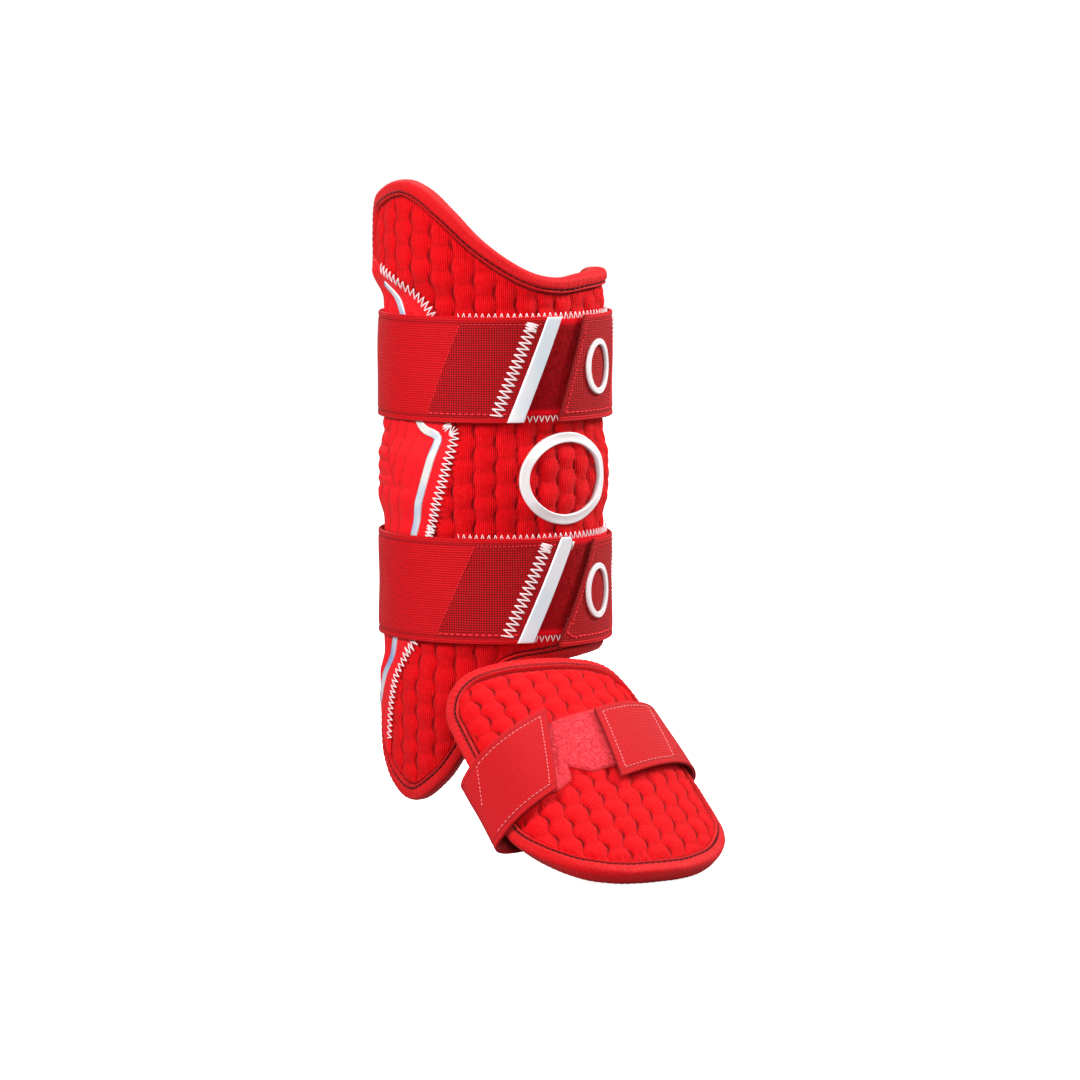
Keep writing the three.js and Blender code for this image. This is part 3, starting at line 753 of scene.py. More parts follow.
class Bench:
    """Short calls for wiring one node tree."""

    def __init__(self, tree: bpy.types.NodeTree) -> None:
        """Keeps the tree that the calls add to."""
        self.tree = tree

    def node(self, kind: str, **settings: object) -> bpy.types.Node:
        """A new node of a kind, with settings of its own.

        Args:
            kind: The node's type.
            **settings: Its properties.

        Returns:
            The node.
        """
        made = self.tree.nodes.new(kind)
        for key, value in settings.items():
            setattr(made, key, value)
        return made

    def feed(self, socket: bpy.types.NodeSocket, value: object) -> None:
        """Links a socket to another, or gives it a value.

        Args:
            socket: The input to fill.
            value: A socket, or a plain value.
        """
        if isinstance(value, bpy.types.NodeSocket):
            self.tree.links.new(value, socket)
        else:
            socket.default_value = value

    def math(self, operation: str, *values: object) -> bpy.types.NodeSocket:
        """The result of a Math node on one, two or three values.

        Args:
            operation: What the node works out.
            *values: Sockets or numbers.

        Returns:
            Its output.
        """
        made = self.node("ShaderNodeMath", operation=operation)
        for socket, value in zip(made.inputs, values):
            self.feed(socket, value)
        return made.outputs[0]

    def blend(self, share: object, first: object, second: object) -> bpy.types.NodeSocket:
        """A colour between two, by a share.

        Args:
            share: 0 for the first colour, 1 for the second.
            first: A colour.
            second: Another.

        Returns:
            The colour's socket.
        """
        made = self.node("ShaderNodeMix", data_type="RGBA")
        for socket, value in zip((made.inputs[0], made.inputs[6], made.inputs[7]), (share, first, second)):
            self.feed(socket, value)
        return made.outputs[2]

    def between(self, share: object, first: object, second: object) -> bpy.types.NodeSocket:
        """A number between two, by a share."""
        return self.math("MULTIPLY_ADD", self.math("SUBTRACT", second, first), share, first)

    def noise(self, scale: float, detail: float = 3.0) -> bpy.types.NodeSocket:
        """Noise from 0 to 1 on the object's own coordinates, with its scale per metre.

        Args:
            scale: About how many spots a metre has.
            detail: How many finer noises are added.

        Returns:
            The noise's socket.
        """
        made = self.node("ShaderNodeTexNoise")
        self.feed(made.inputs["Vector"], self.node("ShaderNodeTexCoord").outputs["Object"])
        self.feed(made.inputs["Scale"], scale)
        self.feed(made.inputs["Detail"], detail)
        return made.outputs[0]

    def mask(self, name: str) -> bpy.types.NodeSocket:
        """A number that the mesh keeps at each point."""
        return self.node("ShaderNodeAttribute", attribute_name=name).outputs["Fac"]

    def flat(self) -> tuple[bpy.types.NodeSocket, bpy.types.NodeSocket]:
        """The two flat coordinates of the cloth, in millimetres.

        Returns:
            Their sockets.
        """
        parted = self.node("ShaderNodeSeparateXYZ")
        self.feed(parted.inputs[0], self.node("ShaderNodeUVMap", uv_map="cloth").outputs[0])
        return parted.outputs[0], parted.outputs[1]

    def group(self, name: str, **values: object) -> bpy.types.NodeSocket:
        """The output of a shared group placed here with its own values.

        Args:
            name: The group's name among the effects.
            **values: Its inputs.

        Returns:
            Its output.
        """
        made = self.node("ShaderNodeGroup", node_tree=Effects.get(name))
        for key, value in values.items():
            self.feed(made.inputs[key], value)
        return made.outputs[0]

    def bump(self, height: object, distance: float) -> bpy.types.NodeSocket:
        """A normal raised by a height from 0 to 1, times a distance in millimetres.

        Args:
            height: The height's socket.
            distance: How high 1 stands.

        Returns:
            The normal's socket.
        """
        made = self.node("ShaderNodeBump")
        self.feed(made.inputs["Height"], height)
        self.feed(made.inputs["Distance"], distance * METRES)
        self.feed(made.inputs["Strength"], 1.0)
        return made.outputs[0]


def new_group(
    name: str, inputs: Sequence[str]
) -> tuple[Bench, dict[str, bpy.types.NodeSocket], Callable[[bpy.types.NodeSocket], bpy.types.NodeTree]]:
    """An empty shader group with number inputs and one number output.

    Args:
        name: The group's name.
        inputs: Names of its inputs.

    Returns:
        Its bench, its inputs by name, and a call that closes it with the socket to put out.
    """
    tree = bpy.data.node_groups.new(name, "ShaderNodeTree")
    for key in inputs:
        tree.interface.new_socket(name=key, in_out="INPUT", socket_type="NodeSocketFloat")
    tree.interface.new_socket(name="Height", in_out="OUTPUT", socket_type="NodeSocketFloat")
    bench = Bench(tree)
    entry = bench.node("NodeGroupInput")
    leave = bench.node("NodeGroupOutput")

    def close(result: bpy.types.NodeSocket) -> bpy.types.NodeTree:
        """Puts the result out of the group."""
        bench.feed(leave.inputs[0], result)
        return tree

    return bench, {key: entry.outputs[key] for key in inputs}, close


class Effects:
    """Shader groups that several finishes share, each made once."""

    made: ClassVar[dict[str, bpy.types.NodeTree]] = {}

    @classmethod
    def get(cls, name: str) -> bpy.types.NodeTree:
        """The group of a name, made at its first use.

        Args:
            name: Name of its method.

        Returns:
            The group.
        """
        if name not in cls.made:
            cls.made[name] = getattr(cls, name)()
        return cls.made[name]

    @staticmethod
    def wave(bench: Bench, value: object, pitch: object, shift: object = 0.0) -> bpy.types.NodeSocket:
        """Half plus half the cosine of a turn for each pitch, moved on by a shift in turns.

        Args:
            bench: Bench of the tree.
            value: Where to read it.
            pitch: Length of a turn.
            shift: Turns to move it by.

        Returns:
            The wave's socket.
        """
        turns = bench.math("ADD", bench.math("DIVIDE", value, pitch), shift)
        cosine = bench.math("COSINE", bench.math("MULTIPLY", turns, 2 * np.pi))
        return bench.math("MULTIPLY_ADD", cosine, 0.5, 0.5)

    @staticmethod
    def knit() -> bpy.types.NodeTree:
        """Knitted ribs: loops that lean left and right in turn, one column of them for each wale.

        Returns:
            The group.
        """
        bench, values, close = new_group("knit loops", ("Across", "Along", "Wale", "Course"))
        column = bench.math("DIVIDE", values["Across"], values["Wale"])
        lean = bench.math("ABSOLUTE", bench.math("SUBTRACT", bench.math("FRACT", column), 0.5))
        rib = Effects.wave(bench, bench.math("ADD", column, 0.5), 1.0)
        loop = Effects.wave(bench, values["Along"], values["Course"], bench.math("MULTIPLY", lean, 1.4))
        loops = bench.math("MULTIPLY_ADD", loop, 0.5, 0.5)
        return close(bench.math("MULTIPLY", rib, loops))

    @staticmethod
    def ribbed() -> bpy.types.NodeTree:
        """Woven ribs that run along the band, each made of short floats set half a step apart.

        Returns:
            The group.
        """
        bench, values, close = new_group("woven ribs", ("Along", "Across", "Rib", "Float"))
        row = bench.math("FLOOR", bench.math("DIVIDE", values["Across"], values["Rib"]))
        step = bench.math("MULTIPLY", row, 0.5)
        rib = Effects.wave(bench, values["Across"], values["Rib"], 0.5)
        length = Effects.wave(bench, values["Along"], values["Float"], step)
        return close(bench.math("MULTIPLY", rib, bench.math("MULTIPLY_ADD", length, 0.3, 0.7)))

    @staticmethod
    def pinholes() -> bpy.types.NodeTree:
        """A square grid of small holes: 0 in a hole and 1 between them.

        Returns:
            The group.
        """
        bench, values, close = new_group("pinhole grid", ("Along", "Across", "Rib", "Float"))
        first = Effects.wave(bench, values["Along"], values["Float"])
        second = Effects.wave(bench, values["Across"], values["Rib"])
        hole = bench.math("MULTIPLY", first, second)
        return close(bench.math("SUBTRACT", 1.0, bench.math("POWER", hole, 0.9)))

    @staticmethod
    def fibres() -> bpy.types.NodeTree:
        """Fine fuzz: two noises of different size, mixed, for cloth that catches the light unevenly."""
        bench, values, close = new_group("loose fibres", ("Coarse",))
        return close(bench.between(values["Coarse"], bench.noise(2600.0, 4.0), bench.noise(520.0, 3.0)))


def linear(red: int, green: int, blue: int) -> tuple[float, float, float, float]:
    """A screen colour, 0 to 255, as the linear colour that shaders take, by the curve of sRGB.

    Args:
        red: Its red.
        green: Its green.
        blue: Its blue.

    Returns:
        Linear red, green and blue, with an alpha of 1.
    """
    shares = np.array([red, green, blue]) / 255
    value = np.where(shares <= 0.04045, shares / 12.92, ((shares + 0.055) / 1.055) ** 2.4)
    return (*map(float, value), 1.0)


@dataclass(frozen=True)
class Finish(ABC):
    """What every finish has: its name, the middle colour, the gloss and the range of its shades.

    The shades dark and bright are factors of the colour, and the relief is in millimetres.
    """

    name: str
    colour: tuple[int, int, int]
    roughness: float = 0.8
    sheen: float = 0.0
    specular: float = 0.4
    dark: float = 0.7
    bright: float = 1.12
    relief: float = 0.1

    def settings(self) -> dict[str, object]:
        """The shader's own constant sockets.

        Returns:
            Values by socket name.
        """
        return {
            "Roughness": self.roughness,
            "Specular IOR Level": self.specular,
            "Sheen Weight": self.sheen,
            "Sheen Roughness": SHEEN_SPREAD,
            "Sheen Tint": SHEEN_TINT,
        }

    def material(self) -> bpy.types.Material:
        """The finish as a material, made once.

        Returns:
            The material.
        """
        found = bpy.data.materials.get(self.name)
        if found:
            return found
        made = bpy.data.materials.new(self.name)
        made.use_nodes = True
        made.diffuse_color = linear(*self.colour)
        shader = made.node_tree.nodes["Principled BSDF"]
        for key, value in self.settings().items():
            shader.inputs[key].default_value = value
        self.dress(Bench(made.node_tree), shader)
        return made

    def shade(self, factor: float) -> tuple[float, float, float, float]:
        """The finish's colour times a factor, with no channel above 1."""
        return (*(min(channel * factor, 1.0) for channel in linear(*self.colour)[:3]), 1.0)

    def shaded(self, bench: Bench, share: object) -> bpy.types.NodeSocket:
        """The colour between the dark and the bright shade, by a share."""
        return bench.blend(share, self.shade(self.dark), self.shade(self.bright))

    def wire(self, bench: Bench, shader: bpy.types.Node, colour: object, height: object) -> None:
        """Puts a colour and the relief of a height into the shader."""
        bench.feed(shader.inputs["Base Color"], colour)
        bench.feed(shader.inputs["Normal"], bench.bump(height, self.relief))

    @abstractmethod
    def dress(self, bench: Bench, shader: bpy.types.Node) -> None:
        """Wires the colour and the relief into the shader.

        Args:
            bench: The material's bench.
            shader: Its Principled BSDF.
        """


@dataclass(frozen=True)
class ClothFinish(Finish):
    """What the cloths share: tones from their weave and fuzz, and painted shade where they are creased.

    The tone is the weave times its share, plus the fuzz times its own, plus a start. The mask
    painted_shade_and_edge times its share turns the colour to a second tone: painted shade in creases,
    grooves and gaps, darker cut ends on the straps, and the paler border of the calf loop patches.
    """

    weave_share: float = 0.0
    fuzz_share: float = 0.5
    start: float = 0.0
    coarse: float = 0.5
    shade_and_edge_share: float = 0.7
    shade_and_edge_tone: float = 0.2

    def fuzz(self, bench: Bench) -> bpy.types.NodeSocket:
        """The cloth's fuzz, from 0 to 1."""
        return bench.group("fibres", Coarse=self.coarse)

    def toned(self, bench: Bench, weave: object, fuzz: object) -> bpy.types.NodeSocket:
        """The colour that the weave and the fuzz give."""
        woven = bench.math("MULTIPLY_ADD", weave, self.weave_share, self.start)
        return self.shaded(bench, bench.math("MULTIPLY_ADD", fuzz, self.fuzz_share, woven))

    def wire(self, bench: Bench, shader: bpy.types.Node, colour: object, height: object) -> None:
        """Puts the colour, turned by the painted_shade_and_edge mask to painted shade and edge tones, and the
        relief into the shader.
        """
        # painted shade in creases, grooves and gaps, darker cut ends on straps, paler loop-patch borders
        painted_shade_and_edge = bench.math("MULTIPLY", bench.mask("painted_shade_and_edge"), self.shade_and_edge_share)
        super().wire(bench, shader, bench.blend(painted_shade_and_edge, colour, self.shade(self.shade_and_edge_tone)), height)


@dataclass(frozen=True)
class KnitFinish(ClothFinish):
    """Knitted face cloth over the quilting, with painted shade in the quilting grooves, and pale flecks on
    its loops that are partly lint and partly a painted highlight.
    """

    dark: float = 0.42
    relief: float = 0.42
    weave_share: float = 0.75
    fuzz_share: float = 0.6
    start: float = -0.1
    # painted shade in the quilting grooves: how far the colour goes to the dark tone, and that tone
    shade_and_edge_share: float = 0.94
    shade_and_edge_tone: float = 0.07
    wale: float = 1.15
    course: float = 1.3
    # pale pink of the flecks: partly lint, partly a painted highlight on the loop tops
    lint_and_highlight: tuple[int, int, int] = (255, 64, 70)
    lint_and_highlight_share: float = 2.0
    fuzz_height: float = 0.3

    def dress(self, bench: Bench, shader: bpy.types.Node) -> None:
        """Colour from the loops, the fuzz, and pale flecks that are partly lint and partly a painted
        highlight; relief from the loops and the fuzz.
        """
        across, along = bench.flat()
        loops = bench.group("knit", Across=across, Along=along, Wale=self.wale, Course=self.course)
        fuzz = self.fuzz(bench)
        # pale flecks on the loop tops, partly lint and partly a painted highlight
        pale = bench.math("MULTIPLY_ADD", fuzz, self.lint_and_highlight_share, -self.lint_and_highlight_share / 2)
        flecks = bench.math("MULTIPLY", loops, pale)
        colour = bench.blend(flecks, self.toned(bench, loops, fuzz), linear(*self.lint_and_highlight))
        self.wire(bench, shader, colour, bench.math("MULTIPLY_ADD", fuzz, self.fuzz_height, loops))


@dataclass(frozen=True)
class BindingFinish(ClothFinish):
    """Ribbed tape: fine ribs across the roll, with painted shade in the sewn groove."""

    dark: float = 0.4
    bright: float = 1.1
    relief: float = 0.32
    weave_share: float = 0.65
    fuzz_share: float = 0.45
    coarse: float = 0.4
    # painted shade in the sewn groove: how far the colour goes to the dark tone, and that tone
    shade_and_edge_share: float = 0.85
    shade_and_edge_tone: float = 0.12
    rib: float = 0.85
    thread: float = 1.7

    def dress(self, bench: Bench, shader: bpy.types.Node) -> None:
        """Ribs across the roll as relief and as a little colour."""
        along, around = bench.flat()
        ribs = bench.group("ribbed", Along=around, Across=along, Rib=self.rib, Float=self.thread)
        self.wire(bench, shader, self.toned(bench, ribs, self.fuzz(bench)), ribs)


@dataclass(frozen=True)
class ElasticFinish(ClothFinish):
    """Woven elastic: ribs along the band, and a grid of pinholes where the hook pad is sewn behind it."""

    dark: float = 0.12
    bright: float = 1.05
    relief: float = 0.3
    weave_share: float = 1.0
    fuzz_share: float = 0.35
    coarse: float = 0.3
    # tone of the painted shade in the fold lines, also used for the darker cut ends
    shade_and_edge_tone: float = 0.22
    rib: float = 1.2
    thread: float = 1.2
    plain: tuple[float, float] = (0.42, 0.26)
    open_grid: tuple[float, float] = (1.0, -0.6)
    weave: Weave = Weave.SEWN

    def dress(self, bench: Bench, shader: bpy.types.Node) -> None:
        """Ribs and pinholes, each with a share and a start of its own in the tone, as colour and relief."""
        along, across = bench.flat()
        threads = {"Along": along, "Across": across, "Rib": self.rib, "Float": self.thread}
        ribs, holes = (bench.group(name, **threads) for name in ("ribbed", "pinholes"))
        sewn = bench.mask("sewn") if self.weave is Weave.SEWN else float(self.weave is Weave.GRID)
        plain = bench.math("MULTIPLY_ADD", ribs, *self.plain)
        open_grid = bench.math("MULTIPLY_ADD", holes, *self.open_grid)
        colour = self.toned(bench, bench.between(sewn, plain, open_grid), self.fuzz(bench))
        self.wire(bench, shader, colour, bench.between(sewn, ribs, holes))


@dataclass(frozen=True)
class FuzzFinish(ClothFinish):
    """Brushed loop pile, mottled, with a smooth and paler border where the painted_shade_and_edge mask is 1.
    """

    dark: float = 0.45
    relief: float = 0.5
    fuzz_share: float = 2.4
    start: float = -0.7
    coarse: float = 0.35
    shade_and_edge_share: float = 1.0
    shade_and_edge_tone: float = 1.6
    pressed: float = 0.8

    def dress(self, bench: Bench, shader: bpy.types.Node) -> None:
        """Mottled colour and relief from the fuzz, less of both on the border."""
        fuzz = self.fuzz(bench)
        left = bench.math("MULTIPLY_ADD", bench.mask("painted_shade_and_edge"), -self.pressed, 1.0)
        self.wire(bench, shader, self.toned(bench, 0.0, fuzz), bench.math("MULTIPLY", fuzz, left))


@dataclass(frozen=True)
class PanelFinish(ClothFinish):
    """Smooth stretch fabric with a fine, even grain."""

    dark: float = 0.72
    weave_share: float = 0.25
    fuzz_share: float = 0.7
    coarse: float = 0.6
    # tone of the painted shade in the creases between the panel's folds
    shade_and_edge_tone: float = 0.4
    rib: float = 0.55
    thread: float = 0.8

    def dress(self, bench: Bench, shader: bpy.types.Node) -> None:
        """Fine grain as relief, and a slight shift of the colour."""
        across, along = bench.flat()
        grain = bench.group("ribbed", Along=along, Across=across, Rib=self.rib, Float=self.thread)
        fuzz = self.fuzz(bench)
        self.wire(bench, shader, self.toned(bench, grain, fuzz), bench.math("ADD", grain, fuzz))


@dataclass(frozen=True)
class FilmFinish(Finish):
    """Silver transfer film with painted reflections, faint patches of pale blue and warm white glints along
    it, and painted shade on its rim.
    """

    relief: float = 0.05
    # colours of the painted iridescent glints
    cool_glint: tuple[int, int, int] = (196, 214, 226)
    warm_glint: tuple[int, int, int] = (236, 224, 226)
    # colour of the painted shade along the rim
    rim: tuple[int, int, int] = (60, 14, 18)
    # share of the painted glint colours in the film
    play: float = 0.5
    contrast: float = 3.2
    metal: float = 0.2
    film: float = 420.0
    film_ior: float = 1.35

    def settings(self) -> dict[str, object]:
        """The shader's own constant sockets, with the thin film over it."""
        film = {"Metallic": self.metal, "Thin Film Thickness": self.film, "Thin Film IOR": self.film_ior}
        return super().settings() | film

    def dress(self, bench: Bench, shader: bpy.types.Node) -> None:
        """Painted glints as slow colour shifts along the strip, painted shade on the rim, and a slight grain.
        """
        # painted reflections: noise moves the colour between the cool and the warm glint
        shift = bench.math("MULTIPLY_ADD", bench.noise(38.0, 2.0), self.contrast, (1 - self.contrast) / 2)
        tint = bench.blend(shift, linear(*self.cool_glint), linear(*self.warm_glint))
        film = bench.blend(self.play, linear(*self.colour), tint)
        # painted shade along the trim's rear rim
        colour = bench.blend(bench.mask("painted_shade_and_edge"), film, linear(*self.rim))
        self.wire(bench, shader, colour, bench.noise(900.0))


@dataclass(frozen=True)
class MouldedFinish(Finish):
    """Soft moulded rubber: nearly even, with a fine cast grain and slight marks of handling."""

    dark: float = 0.86
    relief: float = 0.06
    gloss_play: float = 0.25

    def dress(self, bench: Bench, shader: bpy.types.Node) -> None:
        """Slight cloudiness, and grain as relief and in the gloss."""
        middle = self.roughness - 0.48 * self.gloss_play
        rough = bench.math("MULTIPLY_ADD", bench.noise(1500.0), self.gloss_play, middle)
        bench.feed(shader.inputs["Roughness"], rough)
        self.wire(bench, shader, self.shaded(bench, bench.noise(70.0, 4.0)), bench.noise(1800.0))


@dataclass(frozen=True)
class ThreadFinish(Finish):
    """Sewing thread, slightly uneven where its plies turn."""

    dark: float = 0.72
    bright: float = 1.2
    relief: float = 0.15

    def dress(self, bench: Bench, shader: bpy.types.Node) -> None:
        """Ply noise as colour and relief."""
        plies = bench.noise(3200.0, 2.0)
        self.wire(bench, shader, self.shaded(bench, plies), plies)


@dataclass(frozen=True)
class FloorFinish(Finish):
    """Pale seamless paper that looks bright itself, but throws little light back on the guard."""

    dark: float = 0.985
    bright: float = 1.0
    glow: float = 0.96
    returned: float = 0.3

    def settings(self) -> dict[str, object]:
        """The shader's own constant sockets, with the colour of its glow."""
        return super().settings() | {"Emission Color": WHITE}

    def dress(self, bench: Bench, shader: bpy.types.Node) -> None:
        """A trace of grain in the paper; its glow is seen and lights nothing."""
        seen = bench.node("ShaderNodeLightPath").outputs["Is Camera Ray"]
        paper = self.shaded(bench, bench.noise(30.0, 5.0))
        bench.feed(shader.inputs["Base Color"], bench.blend(seen, self.shade(self.returned), paper))
        bench.feed(shader.inputs["Emission Strength"], bench.math("MULTIPLY", seen, self.glow))


QUILT = KnitFinish("quilt_knit", (240, 0, 14), 0.8, 0.12, 0.1)
LINING = KnitFinish("lining_knit", (176, 2, 14), 0.9, 0.06, 0.1, wale=1.6, course=1.4, relief=0.2)
BINDING = BindingFinish("binding_tape", (234, 0, 14), 0.62, 0.18, 0.18)
PANEL = PanelFinish("panel_fabric", (232, 4, 22), 0.6, 0.12, 0.2)
ELASTIC = ElasticFinish("strap_elastic", (216, 0, 16), 0.7, 0.1, 0.15, rib=1.3, thread=1.35)
STRAP_RIBBED = ElasticFinish(
    "foot_strap_elastic", (208, 10, 22), 0.78, 0.2, 0.15, thread=1.6, weave=Weave.RIBS
)
HOOK = ElasticFinish("hook_pad", (150, 10, 18), 0.6, 0.0, 0.5, weave=Weave.GRID)
FUZZ = FuzzFinish("loop_pile", (255, 66, 78), 0.95, 0.35, 0.1, dark=0.55)
FUZZ_DARK = FuzzFinish("loop_pile_calf", (160, 0, 12), 0.95, 0.14, 0.1)
SILVER = FilmFinish("silver_film", (214, 215, 218), 0.36, 0.0, 0.4)
TRIM_FILM = FilmFinish(
    "trim_film", (222, 222, 226), 0.3, 0.0, 0.5, cool_glint=(96, 146, 206), warm_glint=(236, 226, 208), play=0.75
)
RUBBER = MouldedFinish("moulded_rubber", (220, 214, 215), 0.42, 0.0, 0.5)
WHITE_THREAD = ThreadFinish("white_thread", (238, 216, 218), 0.6, 0.0, 0.3)
RED_THREAD = ThreadFinish("red_thread", (244, 40, 52), 0.6, 0.0, 0.3)
PINK_THREAD = ThreadFinish("pink_thread", (240, 130, 134), 0.6, 0.1, 0.3)
DARK_THREAD = ThreadFinish("dark_thread", (26, 0, 2), 0.7, 0.0, 0.2)
PAPER = FloorFinish("floor_paper", (250, 250, 250), 0.9, 0.0, 0.2)


def add_piece(
    name: str,
    shape: Shape,
    finish: Finish,
    slot: str,
    replaces: Sequence[str] = (),
    extra: Finish | None = None,
    extra_faces: Array | None = None,
) -> bpy.types.Object:
    """Puts a shape into the scene as a piece that rides on the frame.

    Args:
        name: The piece's name.
        shape: Its shape.
        finish: Its finish.
        slot: The record's material slot for the piece; not used.
        replaces: CAD nodes that it stands for.
        extra: A second finish.
        extra_faces: 1 for each face that has the second finish.

    Returns:
        The piece.
    """
    mesh = shape.mesh(name)
    mesh.materials.append(finish.material())
    if extra:
        mesh.materials.append(extra.material())
        mesh.polygons.foreach_set("material_index", extra_faces.astype(np.int32))
    piece = add_object(name, mesh)
    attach(piece, "root")
    if replaces:
        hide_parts(*replaces)
    log.info("%s: %d points, %d faces", name, len(shape.points), len(mesh.polygons))
    return piece


@dataclass(frozen=True)
class Quilting:
    """Stitched channels that wave against each other, so that each column is a chain of pillows."""

    column: float = 12.2
    cell: float = 13.4
    swing: float = 0.85
    shift: float = 0.0
    drift: float = 0.5
    drift_pitch: float = 47.0
    depth: float = 1.9
    crown: float = 2.6
    narrow: float = 0.62
    groove: float = 0.5
    shadow: float = 0.72
    pulled: tuple[float, float] = (0.1, 0.6)
    shaded: tuple[float, float] = (0.3, 0.95)
    play: float = 0.35
    play_pitch: float = 19.0
    tightness: float = 1.3
    crease: float = 0.25
    crease_bow: float = 1.5
    crease_fade: float = 0.1
    crease_shade: float = 0.2

    def relief(self, x: Array, y: Array) -> tuple[Array, Array]:
        """Depth below the crowns, and painted shade along the grooves, from 0 to 1.

        Groove k lies at (k + 1/2) columns plus the swing times the cosine of a turn for each cell, with the
        other sign in every other groove. Between two grooves the face rises as one minus a power of the
        distance from the middle. A bowed crease crosses it where the grooves come closest. The thread pulls
        the groove in most where two grooves swing together, and a slow ripple makes that uneven.

        Args:
            x: Place across the columns.
            y: Place along them.

        Returns:
            The lift, 0 at the highest, and the painted shade along the grooves.
        """
        x = x + self.shift + self.drift * ripple(x, y, self.drift_pitch, 1.0)
        turns = 2 * np.pi / self.cell
        number = np.floor(x / self.column)
        sign = np.where(number % 2 == 0, 1.0, -1.0)
        wave = sign * np.cos(turns * y)
        offset = x - (number + 0.5) * self.column - self.swing * wave
        right = np.sign(offset)
        inward = 2 * np.abs(offset) / (self.column - 2 * right * self.swing * wave)
        pillow = 1 - np.abs(1 - np.clip(inward, 0, 2)) ** self.crown
        apart = 1 - sign * right * np.cos(turns * (y + self.crease_bow * pillow))
        crease = np.exp(-apart / self.crease_fade) * pillow
        uneven = self.play * ripple(x, y, self.play_pitch, 11.0)
        tight = np.clip(0.5 + 0.5 * wave + uneven, 0, 1) ** self.tightness
        pull = (self.pulled[0] + self.pulled[1] * tight) * bell(offset, self.groove)
        low = self.depth * (1 - pillow * mix(self.narrow, 1.0, apart / 2))
        # painted shade along each groove, deepest where the thread pulls tight, and along the bowed creases
        dark = (self.shaded[0] + self.shaded[1] * tight) * bell(offset, self.shadow)
        return -low - self.crease * crease - pull, np.clip(dark + self.crease_shade * crease, 0, 1)


CLOTH_SETTINGS = {
    "vertex_group_mass": "held",
    "quality": 5,
    "mass": 0.3,
    "tension_stiffness": 15,
    "compression_stiffness": 15,
    "bending_stiffness": 0.5,
    "use_pressure": True,
}


